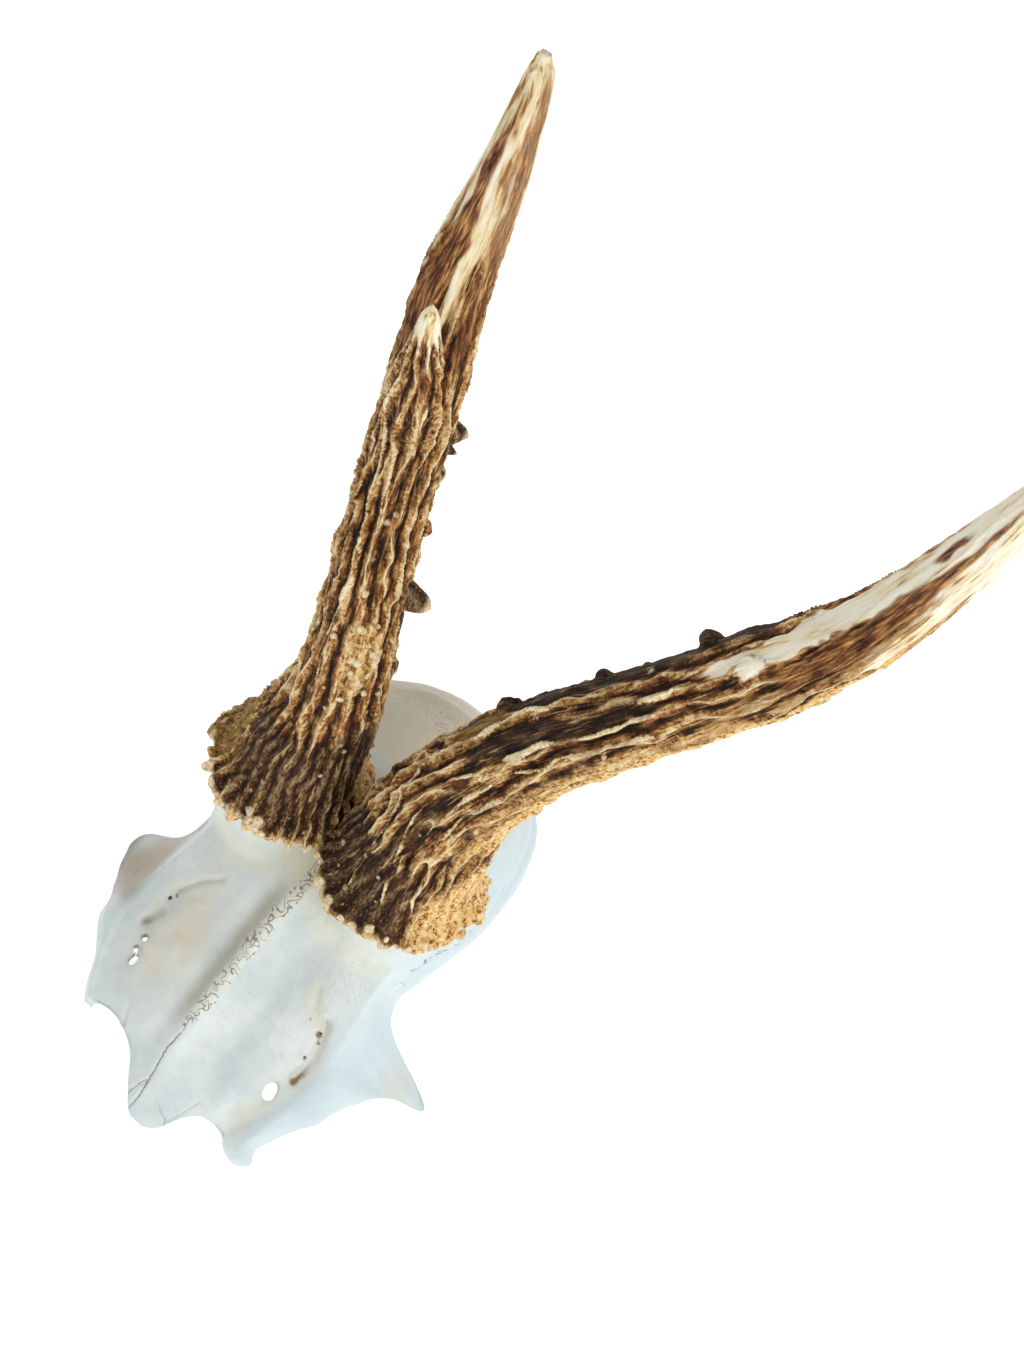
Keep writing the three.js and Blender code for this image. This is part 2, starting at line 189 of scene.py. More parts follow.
def add_tube(
    bm: bmesh.types.BMesh, around: int, along: int, place: Callable[[Array, Array], Array],
) -> None:
    """Adds a closed tube, made from a grid that is rolled up and closed at both ends.

    Args:
        bm: The mesh that takes the tube.
        around: Faces round the tube.
        along: Faces along it.
        place: Gives the points in millimetres for shares of the length and angles in radians.
    """
    made = bmesh.ops.create_grid(bm, x_segments=around, y_segments=along, size=0.5)["verts"]
    flat = np.array([vert.co[:] for vert in made])
    points = place(flat[:, 1] + 0.5, (flat[:, 0] + 0.5) * math.tau)
    for vert, point in zip(made, (points - ORIGIN) * MM):
        vert.co = point
    bmesh.ops.remove_doubles(bm, verts=made, dist=1e-7)
    rims = [edge for edge in bm.edges if edge.is_boundary]
    bmesh.ops.holes_fill(bm, edges=rims, sides=0)


# Finishes

Socket = bpy.types.NodeSocket
Stops = tuple[tuple[float, str], ...]
SMOOTH = {"interpolation_type": "SMOOTHSTEP"}


def linear(colour: str) -> tuple[float, float, float, float]:
    """An sRGB hex colour as the linear values that the shaders take."""
    parts = [int(colour[i:i + 2], 16) / 255 for i in (1, 3, 5)]
    low = [part / 12.92 if part <= 0.04045 else ((part + 0.055) / 1.055) ** 2.4 for part in parts]
    return (low[0], low[1], low[2], 1.0)


def set_stops(ramp: bpy.types.ColorRamp, stops: Stops) -> None:
    """Gives a colour ramp its stops, each a place and a hex colour."""
    while len(ramp.elements) > 1:
        ramp.elements.remove(ramp.elements[-1])
    ramp.elements[0].position = stops[0][0]
    ramp.elements[0].color = linear(stops[0][1])
    for place, colour in stops[1:]:
        ramp.elements.new(place).color = linear(colour)


@dataclass(frozen=True)
class Grain:
    """A grain of the surface: its lumps' size in mm, how much finer it goes and how far it is warped."""

    size_mm: float
    detail: float = 3.0
    warp: float = 0.0
    coarseness: float = 0.6

    def on(self, place: Socket) -> dict[str, object]:
        """What a noise node takes to draw this grain on places in millimetres."""
        return {
            "Vector": place, "Scale": 1 / self.size_mm, "Detail": self.detail,
            "Roughness": self.coarseness, "Distortion": self.warp,
        }


@dataclass(frozen=True)
class Coat:
    """A coat of colour over those below it.

    Its colour is one hex value, or stops along a pattern. Its fade says at which value it begins and
    at which it is full and, where these aren't 0 and 1, how much of it shows there. Without a fade,
    the value times the strength shows of it.
    """

    colour: str | Stops
    fade: tuple[float, ...] = ()
    strength: float = 1.0


class Brush:
    """One material in the making, and the steps that the finishes share."""

    def __init__(self, name: str) -> None:
        """Starts an empty material with its surface shader.

        Args:
            name: The material's name.
        """
        self.material = bpy.data.materials.new(name)
        self.material.use_nodes = True
        self.tree = self.material.node_tree
        self.surface = self.tree.nodes["Principled BSDF"].inputs

    def add(self, kind: str, out: int | str, inputs: dict | Sequence = (), **settings: object) -> Socket:
        """Adds a node with its settings and links.

        Args:
            kind: The node's type, without the words that every shader node's type starts with.
            out: The wanted output, by number or name.
            inputs: What each input takes, by number or name: a socket, a value or a hex colour.
            **settings: The node's own settings, and the stops of a colour ramp.

        Returns:
            The wanted output.
        """
        node = self.tree.nodes.new("ShaderNode" + kind)
        for name, value in settings.items():
            if name == "stops":
                set_stops(node.color_ramp, value)
            else:
                setattr(node, name, value)
        for key, value in inputs.items() if isinstance(inputs, dict) else enumerate(inputs):
            if isinstance(value, Socket):
                self.tree.links.new(value, node.inputs[key])
            else:
                node.inputs[key].default_value = linear(value) if isinstance(value, str) else value
        return node.outputs[out]

    def place_mm(self) -> Socket:
        """The place on the piece, in millimetres."""
        here = self.add("TexCoord", "Object")
        return self.add("VectorMath", 0, {0: here, "Scale": 1 / MM}, operation="SCALE")

    def total(self, start: float, *parts: tuple[Socket, float]) -> Socket:
        """A sum of sockets, each times a number, kept between 0 and 1.

        Args:
            start: What the sum starts from.
            *parts: Each socket and its number.

        Returns:
            The sum.
        """
        result: float | Socket = start
        for number, (value, times) in enumerate(parts, 1):
            inputs = (value, times, result)
            result = self.add("Math", 0, inputs, operation="MULTIPLY_ADD", use_clamp=number == len(parts))
        return result

    def lay(self, colour: Socket, coat: Coat, value: Socket, pattern: Socket | None = None) -> Socket:
        """Lays a coat over a colour.

        Args:
            colour: The colour below.
            coat: The coat.
            value: What brings the coat in.
            pattern: What the coat's stops run along, if it has any.

        Returns:
            The colour with the coat on it.
        """
        if coat.fade:
            share = self.add("MapRange", 0, (value, *coat.fade), **SMOOTH)
        else:
            share = self.add("Math", 0, (value, coat.strength), operation="MULTIPLY")
        over = coat.colour if pattern is None else self.add("ValToRGB", 0, (pattern,), stops=coat.colour)
        return self.add("Mix", 2, {0: share, 6: colour, 7: over}, data_type="RGBA")

    def finish(
        self, colour: Socket, roughness: Socket, bumps: Sequence[tuple[Socket, float, float]],
    ) -> bpy.types.Material:
        """Joins the colour, the roughness and a chain of bumps to the surface.

        Args:
            colour: The base colour.
            roughness: The roughness.
            bumps: Height, strength and depth in millimetres of each bump, the broadest first.

        Returns:
            The finished material.
        """
        normal: dict[str, Socket] = {}
        for height, strength, depth in bumps:
            inputs = {"Height": height, "Strength": strength, "Distance": depth * MM} | normal
            normal = {"Normal": self.add("Bump", 0, inputs)}
        for name, source in ({"Base Color": colour, "Roughness": roughness} | normal).items():
            self.tree.links.new(source, self.surface[name])
        return self.material


@dataclass(frozen=True)
class AntlerFinish:
    """Antler as grown: fibrous bone stained dark by bark sap, rubbed pale on every high place.

    The grooves are nearly black brown, their stain deepened with painted shade, the flanks warm brown, and
    the ridge crests, pearls and tips are worn through to cream and ivory with a low polish. The gold crust
    is partly painted light where it faces the key light and at the burr's rim, and painted shade dulls it
    to greenish brown on the sides facing away.
    """

    ior: float = 1.5
    shine: float = 0.2
    fibre: Grain = Grain(0.5, 5.0)
    broad_fibre: Grain = Grain(1 / 0.7)
    granule: Grain = Grain(0.85, 5.0, 0.4)
    blotch: Grain = Grain(6.0)
    rust_patch: Grain = Grain(4.2, 5.0)
    crest_line: tuple[float, ...] = (0.03, 0.13, 1.0, 0.0)
    crest_shown: tuple[float, ...] = (0.28, 0.56)
    body: Stops = (
        (0.0, "#170b05"), (0.24, "#3e220e"), (0.5, "#80532a"), (0.72, "#c18e50"), (1.0, "#efd9a4"),
    )
    rust: Coat = Coat("#a25c2b", (0.5, 0.7, 0.0, 0.4))
    # near-black in the grooves: their own stain, deepened with painted shade
    groove: Coat = Coat("#170b05", (0.1, 0.4, 0.6, 0.0))
    dusk: Coat = Coat(((0.34, "#150b06"), (0.54, "#301c11"), (0.7, "#6e4d2f")), strength=0.92)
    # gold crust, partly painted light where it faces the key light and at the burr's rim
    golden: Coat = Coat(
        ((0.34, "#5a3116"), (0.43, "#a56c31"), (0.51, "#e2b66f"), (0.6, "#edcb8e"), (0.7, "#f8e4b8")),
        (0.15, 0.75),
    )
    # painted shade: gold crust dulled to greenish brown on the sides facing away from the key light
    olive: Coat = Coat(
        ((0.36, "#35210c"), (0.5, "#8d692f"), (0.62, "#b28c4c"), (0.76, "#dcc184")), (0.15, 0.75),
    )
    crest: Coat = Coat(((0.3, "#bd9860"), (0.46, "#efd9a4"), (0.66, "#faf1d4")))
    rib_edge: Coat = Coat("#c18e50", (0.28, 0.5, 0.0, 0.7))
    rib: Coat = Coat(((0.3, "#bd9860"), (0.46, "#efd9a4"), (0.66, "#faf1d4")), (0.5, 0.76))
    pearl: Coat = Coat(((0.35, "#d0a868"), (0.6, "#f4e8c6")), (0.5, 0.9))
    rubbed: Coat = Coat(((0.3, "#84572f"), (0.5, "#bb8c54"), (0.72, "#e6c88e")), (0.12, 0.42))
    ivory: Coat = Coat(
        ((0.33, "#94653a"), (0.4, "#cfab78"), (0.48, "#e8d6ab"), (0.57, "#f1e5c8"), (0.75, "#f7f1df")),
        (0.36, 0.66),
    )
    stain: Coat = Coat(
        ((0.34, "#2c1810"), (0.46, "#6c4229"), (0.57, "#ae7844"), (0.69, "#e0b470")), (0.25, 0.8),
    )

    def make(self) -> bpy.types.Material:
        """Builds the antler material.

        Returns:
            A material that reads the antler mesh's painted values.
        """
        brush = Brush("antler_rubbed_and_stained")
        brush.surface["IOR"].default_value = self.ior
        brush.surface["Specular IOR Level"].default_value = self.shine
        grown = brush.add("Attribute", "Vector", attribute_name="fibre_mm")
        place = brush.place_mm()
        fibre = brush.add("TexNoise", 0, self.fibre.on(grown))
        broad_fibre = brush.add("TexNoise", 0, self.broad_fibre.on(grown))
        granule = brush.add("TexNoise", 0, self.granule.on(place))
        blotch = brush.add("TexNoise", 0, self.blotch.on(place))
        rust_patch = brush.add("TexNoise", 0, self.rust_patch.on(place))
        painted = {
            name: brush.add("Attribute", "Fac", attribute_name=name)
            for name in ("dusk", "golden", "olive", "rib", "pearl", "polish", "plain", "stain")
        }
        crest, flank = self.ridges(brush, granule)

        # The body darkens towards the grooves: their stain, deepened with painted shade.
        depth = brush.total(-2.09, (flank, 0.7), (fibre, 1.9), (granule, 1.6), (blotch, 1.0))
        grit = brush.total(-0.2, (granule, 0.9), (fibre, 0.45), (flank, 0.1))
        combed = brush.total(-0.33, (granule, 0.4), (fibre, 0.9), (broad_fibre, 0.4))
        frayed = brush.total(-1.0, (painted["rib"], 1.0), (granule, 1.2), (fibre, 0.8))
        worn = brush.total(-1.0, (painted["polish"], 1.0), (broad_fibre, 1.5), (fibre, 0.5))
        vein = brush.total(-0.22, (broad_fibre, 1.1), (fibre, 0.4), (painted["plain"], 0.3))
        stained = brush.total(-0.9, (painted["stain"], 1.0), (broad_fibre, 0.9), (fibre, 0.9))
        colour = brush.add("ValToRGB", 0, (depth,), stops=self.body)
        for coat, value, pattern in (
            (self.rust, rust_patch, None),
            (self.groove, flank, None),
            (self.dusk, painted["dusk"], fibre),
            (self.golden, painted["golden"], grit),
            (self.olive, painted["olive"], combed),
            (self.crest, crest, granule),
            (self.rib_edge, frayed, None),
            (self.rib, frayed, granule),
            (self.pearl, painted["pearl"], granule),
            (self.rubbed, worn, fibre),
            (self.ivory, worn, vein),
            (self.stain, stained, fibre),
        ):
            colour = brush.lay(colour, coat, value, pattern)

        roughness = brush.total(0.74, (painted["polish"], -0.34), (painted["pearl"], -0.16))
        calm = brush.total(1.0, (painted["polish"], -0.8))
        bumps = [
            (brush.add("Math", 0, (height, calm), operation="MULTIPLY"), strength, deep)
            for height, strength, deep in ((granule, 0.7, 0.8), (fibre, 0.6, 0.45), (crest, 0.5, 0.25))
        ]
        return brush.finish(colour, roughness, bumps)

    def ridges(self, brush: Brush, granule: Socket) -> tuple[Socket, Socket]:
        """The thin worn crests of the ridges and the slopes beside them.

        Args:
            brush: The material's builder.
            granule: Grit, which frays the crests' edges.

        Returns:
            1 on a crest's worn line, and the height of the slope from 0 in a groove to 1.
        """
        wave = brush.add("Attribute", "Vector", attribute_name="ridge_wave")
        cosine, sine, strength = (brush.add("SeparateXYZ", axis, (wave,)) for axis in "XYZ")
        turn = brush.add("Math", 0, (sine, cosine), operation="ARCTAN2")
        turn = brush.add("Math", 0, (turn,), operation="ABSOLUTE")
        across = brush.total(-0.25, (turn, 1 / math.pi), (granule, 0.5))
        line = brush.add("MapRange", 0, (across, *self.crest_line), **SMOOTH)
        frayed = brush.total(-0.5, (strength, 1.0), (granule, 1.0))
        shown = brush.add("MapRange", 0, (frayed, *self.crest_shown), **SMOOTH)
        crest = brush.add("Math", 0, (line, shown), operation="MULTIPLY")
        return crest, brush.add("Math", 0, (1.0, across), operation="SUBTRACT")


@dataclass(frozen=True)
class BoneFinish:
    """Boiled and bleached skull bone: matt, bluish white, with painted warm shade in its hollows and warmer
    nerve pits.

    Fine pores and hair cracks hold a little grease and dust, which the eye reads as brown lines.
    """

    ior: float = 1.5
    cloud: Grain = Grain(16.0)
    mottle: Grain = Grain(2.4, 4.0)
    pore: Grain = Grain(0.45, 2.0)
    streak: Grain = Grain(0.8, 3.0, 0.3)
    wander: Grain = Grain(1.6, 2.0)
    curl: Grain = Grain(1.8, 0.0, 0.9)
    streak_squash: tuple[float, float, float] = (1.0, 0.16, 0.6)
    pit_edge: tuple[float, ...] = (0.56, 0.66)
    crack_edge: tuple[float, ...] = (0.05, 0.24, 1.0, 0.0)
    curl_edge: tuple[float, ...] = (0.015, 0.06, 1.0, 0.0)
    band_edge: tuple[float, ...] = (0.35, 0.7)
    suture_strength: float = 0.78
    roughness: tuple[float, ...] = (0.3, 0.7, 0.46, 0.62)
    body: Stops = ((0.3, "#c5d2d4"), (0.5, "#d1dbd9"), (0.7, "#dfe7e5"))
    warm_mottle: Coat = Coat("#cec0a3", (0.54, 0.72, 0.0, 0.28))
    warm_streak: Coat = Coat("#cec0a3", (0.56, 0.72, 0.0, 0.3))
    # painted bluish shade on the side that faces the key light
    cool: Coat = Coat("#becfd5", strength=0.7)
    # painted warm shade in the bone's hollows and dips
    hollow: Coat = Coat("#cec0a3", strength=0.8)
    shade: Coat = Coat("#9c8869", strength=0.75)
    # buttery tint by the pedicles, partly painted light that lifts the shade between the burrs
    butter: Coat = Coat("#f8f1d2", strength=0.85)
    pit: Coat = Coat("#8d8172")
    grease: Coat = Coat("#866a47", (0.25, 0.8))
    # near-black dots of painted shade where the tiny pinholes are
    pin: Coat = Coat("#2b221b", (0.4, 0.8))
    suture_band: Coat = Coat("#eeecda", strength=0.6)
    line: Coat = Coat("#6a6153")

    def make(self) -> bpy.types.Material:
        """Builds the bone material.

        Returns:
            A material that reads the skull mesh's painted values.
        """
        brush = Brush("skull_bone_bleached")
        brush.surface["IOR"].default_value = self.ior
        place = brush.place_mm()
        cloud = brush.add("TexNoise", 0, self.cloud.on(place))
        mottle = brush.add("TexNoise", 0, self.mottle.on(place))
        pore = brush.add("TexNoise", 0, self.pore.on(place))
        squashed = brush.add("VectorMath", 0, (place, self.streak_squash), operation="MULTIPLY")
        streak = brush.add("TexNoise", 0, self.streak.on(squashed))
        painted = {
            name: brush.add("Attribute", "Fac", attribute_name=name)
            for name in ("cool", "hollow", "shade", "butter", "pitted", "grease", "pin", "suture_zone")
        }
        open_pore = brush.add("MapRange", 0, (pore, *self.pit_edge), **SMOOTH)
        pits = brush.add("Math", 0, (painted["pitted"], open_pore), operation="MULTIPLY")
        greasy = brush.total(-0.2, (painted["grease"], 1.0), (mottle, 0.4))
        lines = self.lines(brush, place, painted["suture_zone"])

        colour = brush.add("ValToRGB", 0, (cloud,), stops=self.body)
        for coat, value in (
            (self.warm_mottle, mottle),
            (self.warm_streak, streak),
            (self.cool, painted["cool"]),
            (self.hollow, painted["hollow"]),
            (self.shade, painted["shade"]),
            (self.butter, painted["butter"]),
            (self.pit, pits),
            (self.grease, greasy),
            (self.pin, painted["pin"]),
            (self.suture_band, painted["suture_zone"]),
            (self.line, lines),
        ):
            colour = brush.lay(colour, coat, value)

        roughness = brush.add("MapRange", 0, (mottle, *self.roughness))
        raised = brush.add("Math", 0, (1.0, lines), operation="SUBTRACT")
        fine = brush.add("Math", 0, (pore, streak), operation="ADD")
        bumps = [(mottle, 0.35, 0.45), (raised, 0.6, 0.3), (fine, 0.35, 0.2)]
        return brush.finish(colour, roughness, bumps)

    def lines(self, brush: Brush, place: Socket, band: Socket) -> Socket:
        """The hair cracks, and the fine curls of the joint between the two frontal bones.

        Args:
            brush: The material's builder.
            place: Position in millimetres.
            band: 1 along the joint and 0 away from it.

        Returns:
            1 on a line and 0 away from it.
        """
        distance = brush.add("Attribute", "Fac", attribute_name="crack_mm")
        zone = brush.add("Attribute", "Fac", attribute_name="crack_zone")
        wander = brush.add("TexNoise", 0, self.wander.on(place))
        crack = brush.add("Math", 0, (wander, 0.9, -0.45), operation="MULTIPLY_ADD")
        crack = brush.add("Math", 0, (distance, crack), operation="ADD")
        crack = brush.add("Math", 0, (crack,), operation="ABSOLUTE")
        crack = brush.add("MapRange", 0, (crack, *self.crack_edge), **SMOOTH)
        crack = brush.add("Math", 0, (crack, zone), operation="MULTIPLY")
        curl = brush.add("TexNoise", 0, self.curl.on(place))
        curl = brush.add("Math", 0, (curl, 0.5), operation="SUBTRACT")
        curl = brush.add("Math", 0, (curl,), operation="ABSOLUTE")
        curl = brush.add("MapRange", 0, (curl, *self.curl_edge), **SMOOTH)
        inside = brush.add("MapRange", 0, (band, *self.band_edge), **SMOOTH)
        curl = brush.add("Math", 0, (curl, inside), operation="MULTIPLY")
        curl = brush.add("Math", 0, (curl, self.suture_strength), operation="MULTIPLY")
        return brush.add("Math", 0, (crack, curl), operation="MAXIMUM")


# The skull cap


@dataclass(frozen=True)
class Station:
    """One cross-section of the forehead, in millimetres."""

    y: float
    midline: float
    crest_x: float
    crest: float
    rim: float


@dataclass(frozen=True)
class NerveHole:
    """An oval hole through the brow, seen from above."""

    x: float
    y: float
    across: float
    along: float


@dataclass(frozen=True)
class Trace:
    """A line on the bone in plan: a crack, a groove or a pit chain."""

    points: tuple[tuple[float, float], ...]
    width: float = 1.0
    depth: float = 0.0
    dark: float = 0.8

    def measure(self, plan: Array) -> tuple[Array, Array]:
        """Signed distance from each place to the line, and the share of the line's length there.

        Args:
            plan: Places in plan.

        Returns:
            The signed distance in millimetres, and the share from 0 to 1.
        """
        best = np.full(len(plan), 1e6)
        share = np.zeros(len(plan))
        count = len(self.points) - 1
        for number in range(count):
            start, end = np.array(self.points[number]), np.array(self.points[number + 1])
            run = end - start
            offset = plan - start
            part = np.clip(offset @ run / (run @ run), 0.0, 1.0)
            gap = offset - part[:, None] * run
            side = np.sign(run[0] * offset[:, 1] - run[1] * offset[:, 0])
            distance = np.hypot(gap[:, 0], gap[:, 1])
            nearer = distance < np.abs(best)
            best = np.where(nearer, distance * np.where(side == 0, 1.0, side), best)
            share = np.where(nearer, (number + part) / count, share)
        return best, share


Spot = tuple[float, float, float]  # x, y and radius in plan


@dataclass
class SkullCap:
    """The sawn cap of bone: forehead, eye-socket rims with their hooks, braincase and pedicles."""

    columns: int = 190
    rows: int = 236
    wall: float = 3.2
    braincase_wall: float = 4.2
    crown_y: float = -5.0
    height: float = 46.0
    slope: float = 0.12
    corner_y: float = 47.0
    rear_y: float = 53.5
    squareness: float = 2.2
    pedicle_radius: float = 12.4
    pedicle_foot: float = 16.8
    front_limit: float = -70.4
    stations: tuple[Station, ...] = (
        Station(-72, 5.5, 13, 3.5, 1.5), Station(-60, 16, 20, 9.5, 2.5), Station(-52, 23, 24, 17, 8),
        Station(-45, 28.5, 26.5, 22, 13), Station(-38, 33.5, 27.5, 27, 13), Station(-32, 37.5, 27.5, 31, 7),
        Station(-26, 40.5, 26.5, 34, 0), Station(-20, 42.8, 25.5, 36, 0), Station(-12, 45, 25.5, 37, 0),
        Station(0, 46, 26, 36.5, 0), Station(14, 45.5, 24, 32, 0),
    )
    left_side: tuple[tuple[float, float], ...] = (
        (26.2, -60), (28.6, -54.5), (27.5, -50.4), (29.5, -47.3), (31.4, -45.2), (34.2, -43), (35.3, -40.4),
        (37.7, -36.1), (40, -32), (43.9, -28.4), (49.2, -26.4), (44.6, -22.4), (38.6, -20), (33.2, -17.4),
        (29.2, -12.6), (29.7, -4.7), (31.2, 3), (33, 13.7), (32.8, 23), (31.3, 32), (28, 39.5), (20, 47),
    )
    right_side: tuple[tuple[float, float], ...] = (
        (23.6, -58.3), (24.7, -53), (26.3, -49.5), (28.3, -46), (30.5, -43.9), (32.7, -41.8), (33.6, -38.9),
        (36.6, -34.4), (40.3, -28.1), (41.7, -23.7), (39.8, -19.6), (35.6, -17), (32.6, -13.6), (30.6, -9),
        (29.9, -4.7), (31.2, 3), (33, 13.7), (32.8, 23), (31.3, 32), (28, 39.5), (20, 47),
    )
    front_edge: tuple[tuple[float, float], ...] = (
        (-23.6, -58.3), (-16.5, -57.1), (-11.8, -58.1), (-7.3, -60.9), (-3.1, -66), (0.2, -69.6),
        (2.8, -70.8), (5.7, -70), (8, -68.3), (10.5, -64), (13.3, -61.2), (16.5, -60.2), (20, -60.6),
        (22.7, -62.4), (25.6, -63), (28.6, -61.6),
    )
    holes: tuple[NerveHole, ...] = (
        NerveHole(22.3, -48.2, 1.6, 2.3), NerveHole(-20.3, -42.3, 0.9, 0.9),
        NerveHole(-20.5, -45.0, 0.9, 0.75), NerveHole(-19.3, -46.9, 1.05, 1.35),
    )
    grooves: tuple[Trace, ...] = (
        Trace(((22.6, -31.5), (23.9, -34.5), (25.1, -38.2), (25.1, -41.0), (24.5, -43.6)), 1.15, 1.5),
        Trace(((24.6, -43.0), (23.0, -47.5), (22.0, -52.0), (21.0, -56.0)), 2.4, 1.0),
        Trace(((16.5, -27.4), (18.2, -30.4), (20.6, -31.8), (22.6, -31.5)), 0.7, 0.5),
        Trace(((-14.7, -23.7), (-18.0, -26.5), (-21.0, -31.0)), 0.6, 0.65),
        Trace(((-21.0, -31.0), (-22.0, -36.0), (-21.6, -40.0), (-20.0, -46.5)), 1.8, 0.8),
        Trace(((-20.6, -36.2), (-21.6, -37.6), (-22.6, -39.6)), 0.9, 1.2),
        Trace(((17.5, -55.0), (19.6, -58.6)), 1.5, 0.7),
        Trace(((-13.5, -55.0), (-11.5, -60.0)), 0.5, 0.35),
    )
    cracks: tuple[Trace, ...] = (
        Trace(((-0.4, -51.0), (-0.9, -55.5), (-0.2, -60.5), (0.5, -66.0), (0.4, -71.5))),
        Trace(((-0.2, -62.5), (-1.6, -66.5), (-2.4, -69.0)), dark=0.5),
        Trace(((9.0, -68.0), (8.2, -66.5), (5.0, -65.0)), dark=0.3),
        Trace(((12.0, -58.6), (9.2, -65.0)), dark=0.22),
    )
    temple_cracks: tuple[Trace, ...] = (
        Trace(((-9.0, 24.0), (-7.5, 22.2), (-5.3, 21.0), (-3.6, 21.9), (-2.4, 21.3), (0.2, 18.2),
               (3.0, 14.5), (5.7, 10.4)), dark=1.2),
        Trace(((-6.6, 19.0), (-4.6, 19.4), (-3.4, 21.2)), dark=1.1),
        Trace(((-4.6, 23.4), (-2.6, 20.4), (-0.6, 20.6)), dark=1.0),
        Trace(((9.8, 9.6), (12.4, 13.8), (17.2, 13.0), (22.0, 15.0)), dark=1.0),
        Trace(((-14.0, 26.0), (-10.5, 19.0), (-9.5, 12.0)), dark=0.35),
    )
    grease_spots: tuple[Spot, ...] = (
        (24.5, -43.4, 1.1), (22.5, -33.5, 0.85), (23.4, -34.6, 0.5), (-20.4, -31.6, 0.4),
    )
    # Where tiny pinholes are painted as dark dots of shade, each x, y and radius.
    pins: tuple[Spot, ...] = (
        (-21.2, -32.9, 0.7), (-20.1, -31.9, 0.4), (22.6, -33.1, 0.5), (23.3, -38.8, 0.6),
        (19.0, -32.6, 0.4),
    )
    pedicle_rings: tuple[tuple[float, float], ...] = ((-17.6, 18.4), (13.8, 19.0))
    crest_share: float = 0.62
    crown_share: float = 0.54
    crease_degrees: float = 48.0

    def side_width(self, x: Array, y: Array) -> Array:
        """Half the cap's width at each place, for the side that it lies on."""
        left = flowing(y, [row[1] for row in self.left_side], [row[0] for row in self.left_side])
        right = flowing(y, [row[1] for row in self.right_side], [row[0] for row in self.right_side])
        return np.where(x > 0, left, right)

    def section(self, key: str, y: Array) -> Array:
        """One measure of the forehead's cross-section at each y."""
        return flowing(y, [row.y for row in self.stations], [getattr(row, key) for row in self.stations])

    def roof_height(self, x: Array, y: Array) -> Array:
        """Height of the roof of the forehead between its two crests."""
        flank = np.minimum(1.0, np.abs(x) / self.section("crest_x", y))
        return mix(self.section("midline", y), self.section("crest", y), flank**2.3)

    def forehead(self, u: Array, station_y: Array) -> Array:
        """Points of the forehead, eye-socket rims and hooks.

        Args:
            u: Place across, from -1 to 1.
            station_y: The cross-section's y.

        Returns:
            One point for each pair.
        """
        share = np.abs(u)
        on_roof = share < self.crest_share
        beyond = np.clip((share - self.crest_share) / (1 - self.crest_share), 0.0, 1.0)
        width = self.side_width(u, station_y)
        crest_x = np.minimum(self.section("crest_x", station_y), width - 2)
        reach = np.where(on_roof, crest_x * share / self.crest_share, mix(crest_x, width, beyond))
        x = np.sign(u) * reach
        edge = flowing(x, [row[0] for row in self.front_edge], [row[1] for row in self.front_edge])
        y = mix(station_y, edge, smoothstep(-station_y, 30, 60) ** 2)
        rim = self.section("rim", y)
        roof = self.roof_height(x, y)
        hook = smoothstep(y, -40, -30) * (1 - smoothstep(y, -18, -6))
        wall = mix((1 - beyond**2) ** 0.6, (1 - beyond) ** 1.25, hook)
        z = np.where(on_roof, roof, rim + (roof - rim) * wall)
        trough = 1.5 * bell(np.abs(x) - 9, 5) * smoothstep(-y, 14, 30)
        seam = 0.7 * bell(x, 2.5) * smoothstep(-y, 8, 20)
        return np.stack([x, y, z - trough + seam], axis=1)

    def dome(self, u: Array, station_y: Array, turn: Array) -> Array:
        """Points of the braincase.

        Args:
            u: Place across, from -1 to 1.
            station_y: The y of a cross-section in front of the crown.
            turn: Angle from 0 at the crown to a quarter turn at the rear rim.

        Returns:
            One point for each row.
        """
        exponent = 2 / self.squareness
        reach = np.sin(turn) ** exponent
        rim_y = np.where(turn > 0, self.crown_y + (self.corner_y - self.crown_y) * reach, station_y)
        across = np.sin(np.abs(u) * math.pi / 2) ** exponent
        x = np.sign(u) * self.side_width(u, rim_y) * across
        y = rim_y + (self.rear_y - self.corner_y) * reach * (1 - across**2)
        fall = (np.maximum(0, np.cos(u * math.pi / 2)) * np.maximum(0, np.cos(turn))) ** exponent
        return np.stack([x, y, (self.height - self.slope * (y - self.crown_y)) * fall], axis=1)

    def outside(self, u: Array, v: Array) -> Array:
        """Points of the cap's outside, without pedicles or fine relief.

        Args:
            u: Place across, from -1 on the animal's right to 1.
            v: Place along, from 0 at the muzzle end to 1 at the rear rim.

        Returns:
            One point for each pair.
        """
        turn = np.maximum(0, (v - self.crown_share) / (1 - self.crown_share)) * math.pi / 2
        front_y = mix(-60.0, self.crown_y, np.minimum(1, v / self.crown_share))
        rear = self.crown_y + (self.corner_y - self.crown_y) * np.sin(turn) ** (2 / self.squareness)
        station_y = np.where(turn > 0, rear, front_y)
        share = smoothstep(station_y, -10, 20)[:, None]
        return mix(self.forehead(u, station_y), self.dome(u, station_y, turn), share)

    def inward(self, u: Array, v: Array) -> Array:
        """The step from the outside to the inner wall at each place."""
        rear = smoothstep(v, 0.6, 1) ** 2
        flank = np.abs(u) ** 3
        wall = mix(self.wall, self.braincase_wall, smoothstep(v, 0.4, 0.6))
        thin = mix(0.55, 1.0, smoothstep(v, 0.0, 0.12))
        down = wall * thin * (1 - 0.75 * np.maximum(flank * smoothstep(v, 0.3, 0.5), rear))
        return np.stack([-np.sign(u) * wall * thin * flank, -wall * rear, -down], axis=1)

